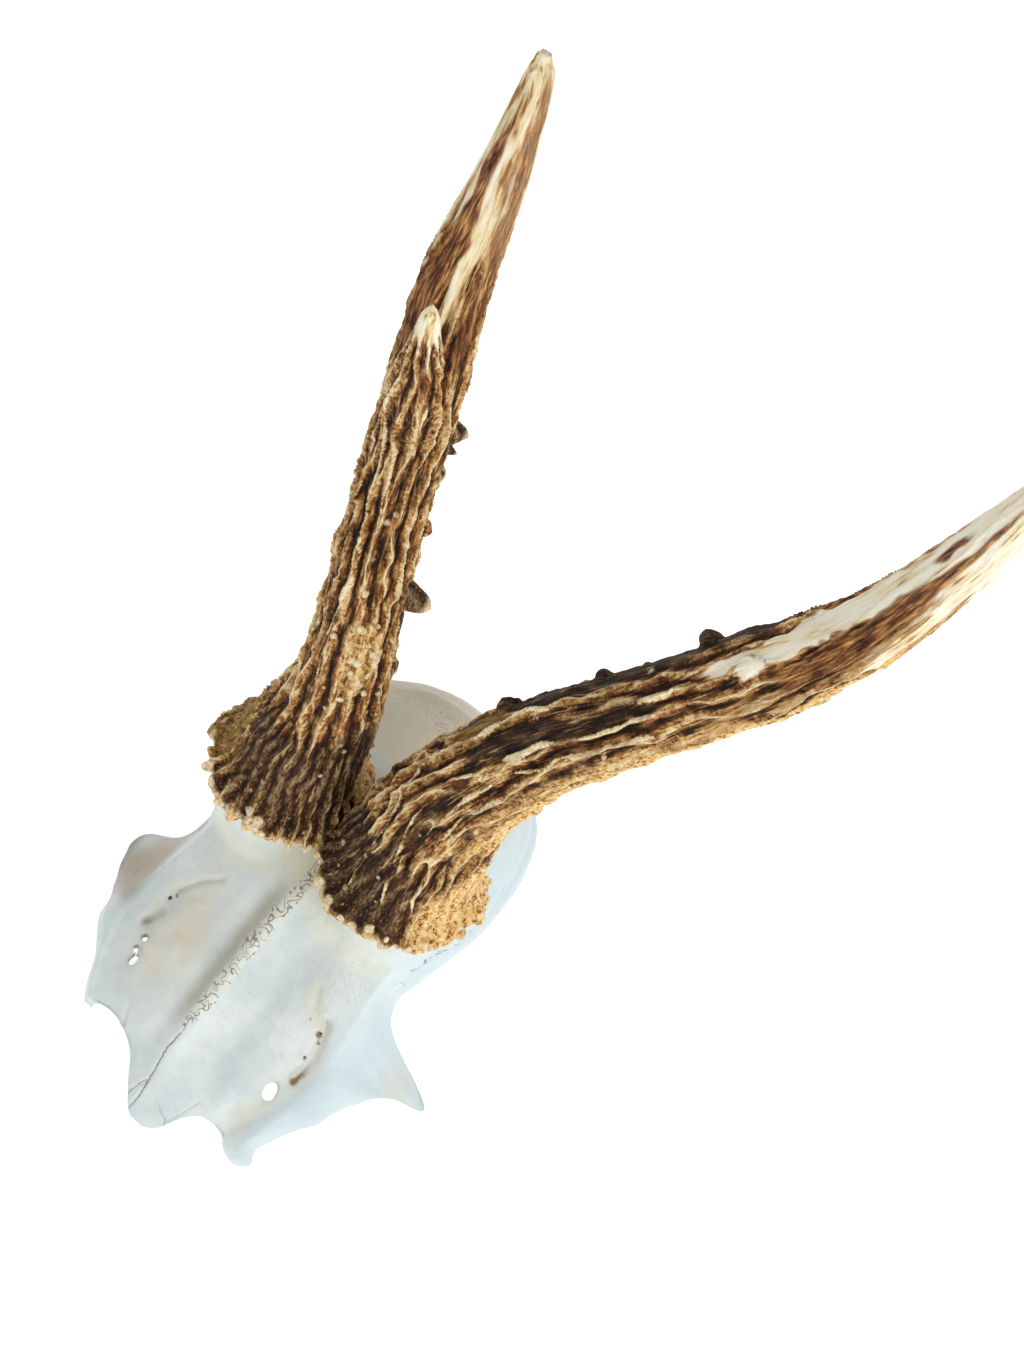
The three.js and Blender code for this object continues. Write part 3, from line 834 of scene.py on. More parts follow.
    def outward(self, u: Array, v: Array) -> Array:
        """The outward direction of the smooth form at each place."""
        reach = 0.004
        low_v, high_v = np.maximum(0.001, v - reach), np.minimum(0.995, v + reach)
        low_u, high_u = np.maximum(-0.995, u - reach), np.minimum(0.995, u + reach)
        across = self.outside(high_u, v) - self.outside(low_u, v)
        along = self.outside(u, high_v) - self.outside(u, low_v)
        normal = np.cross(across, along)
        return normal / np.maximum(1e-9, np.linalg.norm(normal, axis=1))[:, None]

    def stumps(self, points: Array, antlers: Sequence["Antler"]) -> Array:
        """Raises the two pedicles out of the roof, each up to the seam under its burr.

        Args:
            points: Points of the smooth outside.
            antlers: The two antlers, which say where their seams are.

        Returns:
            The points with the pedicles.
        """
        raised = points.copy()
        for antler in antlers:
            seat, axis = antler.seat()
            drop = ((points[:, 0] - seat[0]) * axis[0] + (points[:, 1] - seat[1]) * axis[1]) / axis[2]
            top = seat[2] - drop
            lean = np.clip((seat[2] - points[:, 2]) / 30.0, 0, 1)[:, None] * axis[:2] * 6.0
            radius = np.hypot(*(points[:, :2] - seat[:2] + lean).T)
            flare = (self.pedicle_foot - radius) / (self.pedicle_foot - self.pedicle_radius)
            rise = np.clip(flare, 0, 1) ** 2.2 * smoothstep(points[:, 2], 22, 33)
            raised[:, 2] = mix(raised[:, 2], np.maximum(top, raised[:, 2]), rise)
        return raised

    def relief(self, points: Array) -> Array:
        """Height of the fine forms on the outside, in millimetres: grooves, ridges, lumps and pits."""
        x, y, z = points.T
        plan = points[:, :2]
        height = 0.35 * rough(points, 12.0, 11) + 0.1 * rough(points, 2.5, 21)
        for groove in self.grooves:
            distance, _ = groove.measure(plan)
            height -= groove.depth * bell(distance, groove.width) * smoothstep(z, 4, 9)
        for crack in self.cracks:
            distance, _ = crack.measure(plan)
            height -= 0.3 * crack.dark * bell(distance, 0.4) * smoothstep(z, 2, 5)
        for crack in self.temple_cracks:
            distance, _ = crack.measure(points[:, 1:])
            height -= 0.35 * crack.dark * bell(distance, 0.4) * smoothstep(x, 22, 26)
        height += self.suture_zone(points) * 0.15 * noise(points, 1.3, 5)
        ahead = smoothstep(-y, 6, 16) * (1 - smoothstep(-y, 50, 62))
        height += (1.0 * bell(x + 0.2, 2.4) - 1.6 * bell(x + 4.9, 2.8) - 0.7 * bell(x - 9.5, 5.0)) * ahead
        height += 0.5 * rough(points, 4.5, 91) * self.right_brow(points)
        beside = smoothstep(y, 0, 8) * (1 - smoothstep(y, 40, 48))
        height -= 0.9 * bell(z - 11 - 0.05 * np.abs(y - 15), 2.2) * beside
        nape = 1.3 * bell(y - 43.5 + 0.012 * x**2, 2.0) * smoothstep(z, 14, 24)
        height += nape * smoothstep(np.abs(x), 22, 8)
        pits = np.maximum(0, noise(points, 1.6, 33) - 0.35) * self.pitted(points)
        fans = noise(points * np.array([1.0, 0.16, 0.4]), 1.3, 44)
        height += 0.22 * fans * bell(y + 10, 10) * smoothstep(z, 30, 38)
        return np.where(z < 1.5, 0.0, height - 1.1 * pits)

    def suture_zone(self, points: Array) -> Array:
        """Where the looped midline joint runs: from between the burrs to the open crack."""
        x, y, _ = points.T
        ragged = np.abs(x + 0.4 + 0.6 * noise(points, 9.0, 8)) + 0.8 * noise(points, 2.6, 7)
        width = 1.1 + 1.2 * smoothstep(y, -52, -44) * (1 - 0.4 * smoothstep(y, -22, -12))
        ends = smoothstep(y, -53.0, -49.5) * (1 - smoothstep(y, -10, -6))
        return ends * smoothstep(ragged, width, width - 1.2)

    def right_brow(self, points: Array) -> Array:
        """The faintly lumpy dip of the animal's right forehead, whose dull colour is painted shade."""
        x, y, _ = points.T
        return bell(np.hypot((x + 14.5) / 7.5, (y + 38) / 13), 1.0)

    def pitted(self, points: Array) -> Array:
        """Where the bone is rough: the nape's muscle field and a few pits before the left burr."""
        x, y, _ = points.T
        return np.maximum(bell(y - 38, 6) * bell(x + 2, 12), 0.4 * bell(np.hypot(x - 20, y + 22), 5.0))

    def sheet(self) -> tuple[bmesh.types.BMesh, Array, Array]:
        """The flat grid that becomes the cap, with finer columns towards the midline.

        Returns:
            The bmesh, and each vertex's place across and along.
        """
        bm = bmesh.new()
        made = bmesh.ops.create_grid(bm, x_segments=self.columns, y_segments=self.rows, size=1.0)["verts"]
        flat = np.array([vert.co[:2] for vert in made])
        u = flat[:, 0] * (0.62 + 0.38 * np.abs(flat[:, 0]))
        return bm, u, (flat[:, 1] + 1) / 2

    def punch(
        self, bm: bmesh.types.BMesh, row: bmesh.types.BMLayerItem, base: Array, outer: Array,
    ) -> None:
        """Opens the nerve holes in the sheet and rounds their edges.

        Args:
            bm: The sheet.
            row: The layer that says which point each vertex is.
            base: Points of the smooth outside, changed where a hole's edge is rounded.
            outer: Points with all relief, changed in the same way.
        """
        for hole in self.holes:
            centre = np.array([hole.x, hole.y])
            reach = np.hypot(*((base[:, :2] - centre) / (hole.across, hole.along)).T)
            inside = [face for face in bm.faces if all(reach[vert[row]] < 1.2 for vert in face.verts)]
            bmesh.ops.delete(bm, geom=inside, context="FACES")
            for vert in bm.verts:
                if vert.is_boundary and reach[vert[row]] < 2:
                    shift = (base[vert[row], :2] - centre) * (1 / reach[vert[row]] - 1)
                    base[vert[row], :2] += shift
                    outer[vert[row], :2] += shift

    def build(self, antlers: Sequence["Antler"]) -> bpy.types.Object:
        """Builds the cap as one closed shell.

        Args:
            antlers: The two antlers, which say where their seams are.

        Returns:
            The cap's object, with its values painted.
        """
        bm, u, v = self.sheet()
        base = self.outside(u, v)
        raised = self.stumps(base, antlers)
        on_stump = smoothstep(raised[:, 2] - base[:, 2], 0.5, 4)
        edge = smoothstep(base[:, 2], 0.2, 3.5) * (1 - on_stump)
        outer = raised + self.outward(u, v) * (self.relief(base) * edge)[:, None]
        row = bm.verts.layers.int.new("row")
        for number, vert in enumerate(bm.verts):
            vert[row] = number
        outer[:, 1:] = np.maximum(outer[:, 1:], (self.front_limit, 0.0))
        self.punch(bm, row, base, outer)
        inner = base + self.inward(u, v)
        inner[:, 2] += 0.25 * rough(base, 6.0, 71)
        inner[:, 1:] = np.maximum(inner[:, 1:], (self.front_limit, 0.0))

        for vert in bm.verts:
            vert.co = (outer[vert[row]] - ORIGIN) * MM
        grown = bmesh.ops.extrude_face_region(bm, geom=bm.faces[:], use_keep_orig=True)["geom"]
        for vert in grown:
            if isinstance(vert, bmesh.types.BMVert):
                vert.co = (inner[vert[row]] - ORIGIN) * MM
        bmesh.ops.recalc_face_normals(bm, faces=bm.faces[:])
        for face in bm.faces:
            face.smooth = True
        for rim in bm.edges:
            rim.smooth = rim.calc_face_angle(0.0) < math.radians(self.crease_degrees)
        piece = new_object("skull_cap_bone", bm)
        self.colour(piece.data)
        return piece

    def colour(self, mesh: bpy.types.Mesh) -> None:
        """Paints the values that the bone finish reads.

        Args:
            mesh: The finished cap.
        """
        points = read_points(mesh)
        self.colour_lines(mesh, points)
        self.colour_pits(mesh, points)
        self.colour_areas(mesh, points)

    def colour_lines(self, mesh: bpy.types.Mesh, points: Array) -> None:
        """Paints the cracks and the midline joint.

        Args:
            mesh: The finished cap.
            points: Its vertices.
        """
        x, plan = points[:, 0], points[:, :2]
        crack = np.full(len(points), 9.0)
        zone = np.zeros(len(points))
        for trace in self.cracks:
            distance, share = trace.measure(plan)
            nearer = np.abs(distance) < np.abs(crack)
            crack = np.where(nearer, distance, crack)
            ends = smoothstep(share, 0.0, 0.08) * mix(1.0, 0.55, smoothstep(share, 0.6, 1.0))
            zone = np.where(nearer, ends * trace.dark, zone)
        for trace in self.temple_cracks:
            distance, share = trace.measure(points[:, 1:])
            nearer = (np.abs(distance) < np.abs(crack)) & (x > 22)
            crack = np.where(nearer, distance, crack)
            zone = np.where(nearer, smoothstep(share, 0.0, 0.08) * trace.dark, zone)
        paint(mesh, "crack_mm", crack)
        paint(mesh, "crack_zone", zone * smoothstep(np.abs(crack), 2.0, 1.0))
        paint(mesh, "suture_zone", self.suture_zone(points))

    def colour_pits(self, mesh: bpy.types.Mesh, points: Array) -> None:
        """Paints the greasy pits round the nerve holes, and the tiny pinholes as dark dots of painted
        shade.

        Args:
            mesh: The finished cap.
            points: Its vertices.
        """
        x, y, z = points.T
        above_rim = smoothstep(z, 8, 12)
        grease = dots(points, self.grease_spots)
        for trace, width, strength in ((self.grooves[0], 0.85, 0.8), (self.grooves[5], 1.4, 0.6)):
            distance, share = trace.measure(points[:, :2])
            grease = np.maximum(grease, strength * bell(distance, width) * smoothstep(share, 0.2, 0.9))
        for hole in self.holes:
            ring = np.hypot((x - hole.x) / (hole.across + 0.6), (y - hole.y) / (hole.along + 0.6))
            grease = np.maximum(grease, 0.55 * bell(ring, 1.0))
        paint(mesh, "grease", grease * above_rim)
        # Painted shade: dark dots stand for the pinholes, which are not cut.
        paint(mesh, "pin", dots(points, self.pins) * above_rim)
        paint(mesh, "pitted", self.pitted(points) * smoothstep(z, 20, 26))

    def colour_areas(self, mesh: bpy.types.Mesh, points: Array) -> None:
        """Paints the broad areas of painted shade and light: warm and taupe shade in the hollows, on the
        right hook's outer face and behind the crown, bluish shade on the side facing the key light, and the
        buttery bone by the pedicles, brightened between the burrs.

        Args:
            mesh: The finished cap.
            points: Its vertices.
        """
        x, y, z = points.T
        # Painted shade: warmer beside the nerve grooves, on the occiput, in the trough by the midline, over
        # the right brow and under the left hook.
        hollow = np.zeros(len(points))
        for trace in self.grooves[:5]:
            distance, _ = trace.measure(points[:, :2])
            hollow = np.maximum(hollow, 0.5 * bell(distance, 2.4))
        occiput = smoothstep(y, 12, 26) * smoothstep(z, 10, 22) * smoothstep(-x, -24, -4)
        trough = bell(x + 3.3, 2.3) * smoothstep(-y, 12, 22) * (1 - smoothstep(-y, 44, 54))
        brow = self.right_brow(points) * (0.8 + 0.4 * rough(points, 5.0, 92))
        socket = 0.5 * bell(np.hypot(x - 42.0, y + 27.0), 4.0)
        hollow = np.max([hollow, 1.2 * occiput, 0.5 * trough, brow, socket], axis=0)
        paint(mesh, "hollow", np.clip(hollow, 0, 1))
        nape = 0.45 * smoothstep(y, 20, 34) * smoothstep(x, 10, -14) * smoothstep(z, 8, 18)
        face = smoothstep(-x, 26.0, 29.5) * smoothstep(y, -43, -35) * (1 - smoothstep(y, -15, -9))
        shade = face * smoothstep(z, 34, 29) * (0.8 + 0.4 * bell(np.hypot(x + 33, y + 29), 6.0))
        shade = shade * (1 - 0.6 * bell(np.hypot(x + 38.5, y + 21.5), 3.0))
        paint(mesh, "shade", np.clip(np.max([shade, nape, 0.5 * trough], axis=0), 0, 1.3))
        # Painted shade: darker and bluer on the side facing the key light and on the braincase behind the
        # left pedicle.
        cool = np.maximum(smoothstep(x, 20, 30), 0.6 * smoothstep(y, 2, 12) * smoothstep(x, 6, 16))
        paint(mesh, "cool", cool)
        # The buttery tint round the pedicles, and painted light between the burrs, where the burrs' shadow
        # falls.
        glow = np.zeros(len(points))
        for middle_x, radius in self.pedicle_rings:
            rim = np.hypot(x - middle_x, y - 1.0) - radius
            glow = np.maximum(glow, 0.45 * bell(rim, 3.4) * smoothstep(-y, 0, 12))
        paint(mesh, "butter", np.maximum(glow, bell(x, 10) * bell(y + 9, 7)) * smoothstep(z, 34, 42))


# The antlers


class Tint(Enum):
    """Which painted value a patch or streak of an antler raises."""

    GOLDEN = "golden"
    OLIVE = "olive"
    DUSK = "dusk"
    POLISH = "polish"
    STAIN = "stain"
    PEARLY = "pearly"
    RIB = "rib"


@dataclass(frozen=True)
class Patch:
    """A soft-edged area on an antler: its middle, and its half lengths along and across in mm."""

    tint: Tint
    z: float
    around: float
    along: float
    across: float
    strength: float = 1.0


@dataclass(frozen=True)
class Streak:
    """A band that runs up an antler: stops of height, angle in degrees and half width in mm."""

    tint: Tint
    stops: tuple[tuple[float, float, float], ...]
    strength: float = 1.0


@dataclass(frozen=True)
class Thorn:
    """A knob or thorn: its height, angle from the front, length, radius, droop and how worn it is."""

    z: float
    around: float
    length: float
    radius: float
    droop: float = 0.3
    worn: float = 0.0


@dataclass
class Track:
    """A centre line through rows of x, y, z and radius, read by length or by nearest place."""

    rows: tuple[tuple[float, float, float, float], ...]

    def __post_init__(self) -> None:
        """Samples the line finely."""
        table = np.array(self.rows)
        steps = np.sqrt(np.linalg.norm(np.diff(table[:, :3], axis=0), axis=1))
        knots = np.concatenate([[0], np.cumsum(steps)])
        fine = np.linspace(0, knots[-1], 500)
        self.points = np.stack([flowing(fine, knots, table[:, axis]) for axis in range(3)], axis=1)
        gaps = np.linalg.norm(np.diff(self.points, axis=0), axis=1)
        self.lengths = np.concatenate([[0], np.cumsum(gaps)])
        tangents = np.gradient(self.points, self.lengths, axis=0)
        self.tangents = tangents / np.linalg.norm(tangents, axis=1)[:, None]
        self.radii = np.interp(self.points[:, 2], table[:, 2], table[:, 3])
        self.length = float(self.lengths[-1])

    def read(self, length: Array) -> tuple[Array, Array, Array]:
        """The place, direction and radius at each length along the line, straight beyond its ends."""
        inside = np.clip(length, 0, self.length)
        place = np.stack([np.interp(inside, self.lengths, self.points[:, a]) for a in range(3)], axis=1)
        along = np.stack([np.interp(inside, self.lengths, self.tangents[:, a]) for a in range(3)], axis=1)
        along /= np.linalg.norm(along, axis=1)[:, None]
        place += along * (length - inside)[:, None]
        return place, along, np.interp(inside, self.lengths, self.radii)

    def sides(self, along: Array) -> tuple[Array, Array]:
        """The directions to the front and to the animal's left, square to the line."""
        front = np.array([0.0, -1.0, 0.0]) - along * -along[:, 1:2]
        front /= np.linalg.norm(front, axis=1)[:, None]
        return front, np.cross(along, front)

    def point(self, length: Array, angle: Array, distance: Array) -> Array:
        """Points at a distance from the line, at angles from the front towards the animal's left."""
        place, along, _ = self.read(length)
        front, left = self.sides(along)
        ahead, aside = distance * np.cos(angle), distance * np.sin(angle)
        return place + front * ahead[:, None] + left * aside[:, None]

    def locate(self, points: Array) -> tuple[Array, Array, Array]:
        """The length, angle and distance from the line of each point."""
        length = np.interp(points[:, 2], self.points[:, 2], self.lengths)
        for _ in range(8):
            place, along, _ = self.read(length)
            length = length + 0.8 * np.einsum("ij,ij->i", points - place, along)
            length = np.clip(length, -12, self.length + 6)
        place, along, _ = self.read(length)
        front, left = self.sides(along)
        offset = points - place
        ahead = np.einsum("ij,ij->i", offset, front)
        aside = np.einsum("ij,ij->i", offset, left)
        return length, np.arctan2(aside, ahead), np.hypot(ahead, aside)

    def length_at(self, z: float) -> float:
        """The length along the line at a height."""
        return float(np.interp(z, self.points[:, 2], self.lengths))


@dataclass
class Antler:
    """One antler: burr, beam, front tine and thorns in one skin, with its ridges, pearls and tip."""

    name: str
    node: str
    side: int
    seed: int
    burr_radius: float
    rows: tuple[tuple[float, float, float, float], ...]
    tine_rows: tuple[tuple[float, float, float, float], ...]
    thorns: tuple[Thorn, ...]
    patches: tuple[Patch, ...]
    streaks: tuple[Streak, ...]
    seam: float = 0.3
    contact_x: float = -1.7
    contact_top: float = 80.0
    below_burr: float = 3.8
    above_burr: float = 3.4
    underside: float = 0.7
    voxel_mm: float = 0.43
    polish_from: float = 0.66
    polish_to: float = 0.93
    tine_polish: float = 0.72
    tip_blunt: float = 0.01
    tine_plain: float = -0.1
    tine_grain: float = 1.0
    tip_plain: float = -0.12
    side_limit: float = 46.1
    low_ridges: int = 29
    high_ridges: int = 15
    tine_ridges: int = 9
    along_grain: float = 0.1

    def __post_init__(self) -> None:
        """Lays out the two centre lines."""
        self.track = Track(self.rows)
        self.tine = Track(self.tine_rows)

    def seat(self) -> tuple[Array, Array]:
        """The middle of the pedicle's top, just under the burr, and the antler's direction there."""
        place, along, _ = self.track.read(np.array([-(self.below_burr + self.seam)]))
        return place[0], along[0]

    def burr_rim(self, length: Array, angle: Array) -> Array:
        """How far the burr stands out beyond the shaft at each place, with its scalloped rim."""
        _, _, shaft = self.track.read(length)
        spread = np.where(length < 0, self.below_burr / 0.75, self.above_burr + 1.6)
        flare = np.exp(-((length / spread) ** 2))
        skirt = 0.28 * np.exp(-((np.maximum(length, 0) / 12.0) ** 2))
        ring = np.stack([np.cos(angle) * 17, np.sin(angle) * 17, length * 0.3 + self.seed], axis=1)
        scallop = 1.0 * noise(ring, 4.2, self.seed + 3) + 0.5 * noise(ring, 2.1, self.seed + 4)
        reach = np.maximum(0, self.burr_radius - shaft)
        return reach * np.maximum(flare, skirt) + (scallop - 0.3) * bell(length - 0.6, self.above_burr)

    def surface(self, share: Array, angle: Array) -> Array:
        """Points of the smooth skin of burr and beam.

        Args:
            share: Place along, from 0 at the underside to 1 at the tip.
            angle: Angle from the front towards the animal's left.

        Returns:
            One point for each pair.
        """
        length = mix(-self.below_burr, self.track.length, share)
        _, _, shaft = self.track.read(length)
        under = 1 - (1 - self.underside) * smoothstep(-length, 0.6, self.below_burr)
        near_tip = smoothstep(length / self.track.length, 0.975, 1.0)
        tip = np.sqrt(np.maximum(self.tip_blunt, 1 - near_tip**2))
        points = self.track.point(length, angle, (shaft + self.burr_rim(length, angle)) * under * tip)
        return self.pressed(points)

    def pressed(self, points: Array) -> Array:
        """Keeps the burr clear of its neighbour: the two grew against each other."""
        middle = self.contact_x + self.side * self.seam / 2
        low = points[:, 2] < self.contact_top
        kept = np.maximum(points[:, 0], middle) if self.side > 0 else np.minimum(points[:, 0], middle)
        points[:, 0] = np.where(low, kept, points[:, 0])
        return points

    def thorn_ends(self, thorn: Thorn) -> tuple[Array, Array]:
        """A thorn's root, a little inside the beam, and its tip."""
        length = np.array([self.track.length_at(thorn.z)])
        angle = np.array([math.radians(thorn.around)])
        _, along, shaft = self.track.read(length)
        root = self.track.point(length, angle, shaft - 2.5)[0]
        tip = self.track.point(length, angle, shaft + thorn.length)[0]
        return root, tip - along[0] * thorn.droop * thorn.length

    def add_thorn(self, bm: bmesh.types.BMesh, thorn: Thorn) -> None:
        """Adds one thorn to the bmesh: a blunt cone that leans down the beam."""
        root, tip = self.thorn_ends(thorn)
        reach = tip - root
        first = np.cross(reach, (0.0, 0.0, 1.0))
        first /= np.linalg.norm(first)
        second = np.cross(reach, first) / np.linalg.norm(reach)

        def thorn_surface(share: Array, angle: Array) -> Array:
            """Points of the thorn."""
            blunt = np.sqrt(np.maximum(0.02, 1 - smoothstep(share, 0.72, 1.0) ** 2))
            radius = (thorn.radius * mix(1.0, 0.36, share) * blunt)[:, None]
            around = first * np.cos(angle)[:, None] + second * np.sin(angle)[:, None]
            return root + reach * share[:, None] + around * radius

        add_tube(bm, 24, 16, thorn_surface)

    def rough_form(self) -> bpy.types.Object:
        """The joined form before its fine relief, remeshed to one even skin.

        Returns:
            The object, with the remesh applied.
        """
        bm = bmesh.new()
        add_tube(bm, 150, 230, self.surface)

        def tine_surface(share: Array, angle: Array) -> Array:
            """Points of the front tine."""
            length = share * self.tine.length
            _, _, radius = self.tine.read(length)
            tip = np.sqrt(np.maximum(0.02, 1 - smoothstep(share, 0.86, 1.0) ** 2))
            return self.tine.point(length, angle, radius * tip)

        add_tube(bm, 60, 60, tine_surface)
        for thorn in self.thorns:
            self.add_thorn(bm, thorn)
        bmesh.ops.recalc_face_normals(bm, faces=bm.faces[:])
        piece = new_object(self.name, bm)
        remesh = piece.modifiers.new("one_skin", "REMESH")
        remesh.mode = "VOXEL"
        remesh.voxel_size = self.voxel_mm * MM
        return self.applied(piece)

    def applied(self, piece: bpy.types.Object) -> bpy.types.Object:
        """Replaces a piece's mesh by what its modifiers make of it, with its joints smoothed."""
        graph = bpy.context.evaluated_depsgraph_get()
        made = bpy.data.meshes.new_from_object(piece.evaluated_get(graph))
        old = piece.data
        piece.modifiers.clear()
        piece.data = made
        made.name = self.name
        bpy.data.meshes.remove(old)
        bm = bmesh.new()
        bm.from_mesh(made)
        for _ in range(3):
            bmesh.ops.smooth_vert(
                bm, verts=bm.verts[:], factor=0.5, use_axis_x=True, use_axis_y=True, use_axis_z=True)
        for face in bm.faces:
            face.smooth = True
        bm.to_mesh(made)
        bm.free()
        return piece

    def ridges(self, points: Array, angle: Array, count: int, seed: int) -> Array:
        """Wavy ridges round a line, as a wave that has its top on each crest.

        Args:
            points: Where the ridges are read.
            angle: Angle round the line.
            count: Number of ridges round it.
            seed: Which pattern it is.

        Returns:
            The wave's cosine and sine at each point.
        """
        sway = 0.6 * noise(points, 15.0, seed) + 0.34 * noise(points, 5.5, seed + 1)
        sway += 0.12 * noise(points, 2.4, seed + 2)
        turn = count * angle + math.tau * sway
        return np.stack([np.cos(turn), np.sin(turn)], axis=1)

    def relief(self, points: Array) -> dict[str, Array]:
        """Works out the fine forms and the painted values at each vertex.

        Args:
            points: The smooth skin's vertices.

        Returns:
            Values by name; height is in millimetres.
        """
        length, angle, distance = self.track.locate(points)
        _, _, shaft = self.track.read(length)
        tine_length, tine_angle, tine_distance = self.tine.locate(points)
        _, _, tine_shaft = self.tine.read(tine_length)
        ahead = (distance - shaft) - (tine_distance - tine_shaft)
        on_tine = smoothstep(ahead, -0.5, 2.5) * smoothstep(tine_length, 1.0, 6.0)
        tine_share = np.clip(tine_length / self.tine.length, 0, 1)

        low = self.ridges(points, angle, self.low_ridges, self.seed)
        high = self.ridges(points, angle, self.high_ridges, self.seed + 20)
        wave = mix(low, high, smoothstep(length, 16, 34)[:, None])
        tined = self.ridges(points, tine_angle, self.tine_ridges, self.seed + 40)
        wave = mix(wave, tined, on_tine[:, None])
        ridge = 1 - np.abs(np.arctan2(wave[:, 1], wave[:, 0])) / math.pi
        strength = 0.52 + 0.6 * noise(points, 6.0, self.seed + 60)
        strength += 0.35 * noise(points, 2.2, self.seed + 61)
        strength = np.clip(strength - 0.1 * smoothstep(length, 22, 8), 0.05, 1)
        crest = smoothstep(ridge, 0.6, 0.95) * strength

        worn = length / self.track.length + 0.05 * noise(points, 9.0, self.seed + 62)
        polish = smoothstep(worn, self.polish_from, self.polish_to)
        tine_worn = tine_share + 0.22 * crest * on_tine
        tined_polish = smoothstep(tine_worn, self.tine_polish, self.tine_polish + 0.16)
        polish = np.maximum(polish * (1 - on_tine), on_tine * tined_polish)
        tints = {tint: np.zeros(len(points)) for tint in Tint}
        self.add_patches(tints, points, length, angle, shaft)
        self.add_streaks(tints, points, angle, distance)
        tints[Tint.POLISH] *= 1 - on_tine
        tints[Tint.STAIN] *= 1 - on_tine

        calm = np.clip(1 - 0.85 * np.maximum(polish, tints[Tint.POLISH]), 0, 1)
        rib = tints[Tint.RIB] * calm
        granular = np.clip(tints[Tint.GOLDEN] + 0.6 * tints[Tint.OLIVE] + tints[Tint.PEARLY], 0, 1)
        grit = np.maximum(0, rough(points, 1.5, self.seed + 63))
        ridge_part = mix(1.0, 0.3, granular) * (1 - 0.7 * tints[Tint.DUSK])
        height = (1.05 * crest + 0.85 * ridge - 0.7) * ridge_part * calm + 0.9 * rib
        ring = np.stack([np.cos(angle) * 17, np.sin(angle) * 17, length * 0.2], axis=1)
        turn = 11 * angle + 2.4 * noise(ring, 6.0, self.seed + 5) + 1.0 * noise(ring, 3.0, self.seed + 6)
        lobes = (np.abs(np.cos(turn)) ** 0.6 - 0.7) * (1.2 + 1.0 * noise(ring, 5.0, self.seed + 7))
        height += (lobes + 0.4 * noise(points, 1.8, self.seed + 8)) * bell(length + 0.2, 2.4)
        height += granular * (0.5 * grit - 0.1) * calm + 0.16 * rough(points, 1.2, self.seed + 64) * calm
        height += 0.35 * noise(points, 7.0, self.seed + 65) * calm
        pearl, pearl_height = self.pearls(points, tints)
        height = height + pearl_height
        for thorn in self.thorns:
            _, tip = self.thorn_ends(thorn)
            below = tip - np.array([0.0, 0.0, 0.3 * thorn.radius])
            away = np.linalg.norm(points - below, axis=1)
            pearl = np.maximum(pearl, 1.2 * thorn.worn * bell(away, thorn.radius * 1.2))

        # Painted highlight: the burr's rim, gold as if lit through.
        rim = bell(length + 0.4, 1.9) * smoothstep(distance / self.burr_radius, 0.84, 0.93)
        rim = rim * (0.75 + 0.6 * noise(points, 4.0, self.seed + 66))
        return {
            "height": height, "pearl": pearl, "rib": rib,
            "ridge_wave": np.column_stack([wave, strength * ridge_part]),
            "polish": np.maximum(polish * 0.8, tints[Tint.POLISH]), "stain": tints[Tint.STAIN],
            "golden": np.maximum(tints[Tint.GOLDEN], rim), "olive": tints[Tint.OLIVE],
            "dusk": tints[Tint.DUSK], "on_tine": on_tine,
            "plain": mix(self.tip_plain, self.tine_plain, on_tine),
        }

    def add_patches(
        self, tints: dict[Tint, Array], points: Array, length: Array, angle: Array, shaft: Array,
    ) -> None:
        """Raises the painted values inside each patch.

        Args:
            tints: The values so far, changed in place.
            points: The vertices.
            length: Length along the beam.
            angle: Angle round it.
            shaft: The beam's radius there.
        """
        ragged = 0.3 * rough(points, 5.0, self.seed + 70)
        for patch in self.patches:
            along = (length - self.track.length_at(patch.z)) / patch.along
            turn = (angle - math.radians(patch.around) + math.pi) % math.tau - math.pi
            across = turn * (shaft + 2) / patch.across
            inside = smoothstep(np.hypot(along, across) + ragged, 1.15, 0.7) * patch.strength
            tints[patch.tint] = np.maximum(tints[patch.tint], inside)

    def add_streaks(
        self, tints: dict[Tint, Array], points: Array, angle: Array, distance: Array,
    ) -> None:
        """Raises the painted values along each streak.

        Args:
            tints: The values so far, changed in place.
            points: The vertices.
            angle: Angle round the beam.
            distance: Distance from its centre line.
        """
        ragged = 0.35 * noise(points * np.array([1, 1, 0.4]), 2.0, self.seed + 71)
        sway = 0.9 * noise(points, 9.0, self.seed + 72) + 0.35 * noise(points, 3.0, self.seed + 73)
        for streak in self.streaks:
            heights = [stop[0] for stop in streak.stops]
            middle = np.radians(flowing(points[:, 2], heights, [stop[1] for stop in streak.stops]))
            width = flowing(points[:, 2], heights, [stop[2] for stop in streak.stops])
            turn = (angle - middle + sway / distance + math.pi) % math.tau - math.pi
            off = np.abs(turn) * distance - width * (1 + ragged)
            ends = smoothstep(points[:, 2], heights[0] - 3, heights[0] + 3)
            ends = ends * (1 - smoothstep(points[:, 2], heights[-1] - 2, heights[-1] + 4))
            is_rib = streak.tint is Tint.RIB
            soft = 0.35 if is_rib else 0.8
            if is_rib:
                off = off + width * (0.5 - 0.85 * noise(points, 4.5, self.seed + 74))
            inside = smoothstep(off, soft, -soft) * ends * streak.strength
            tints[streak.tint] = np.maximum(tints[streak.tint], inside)

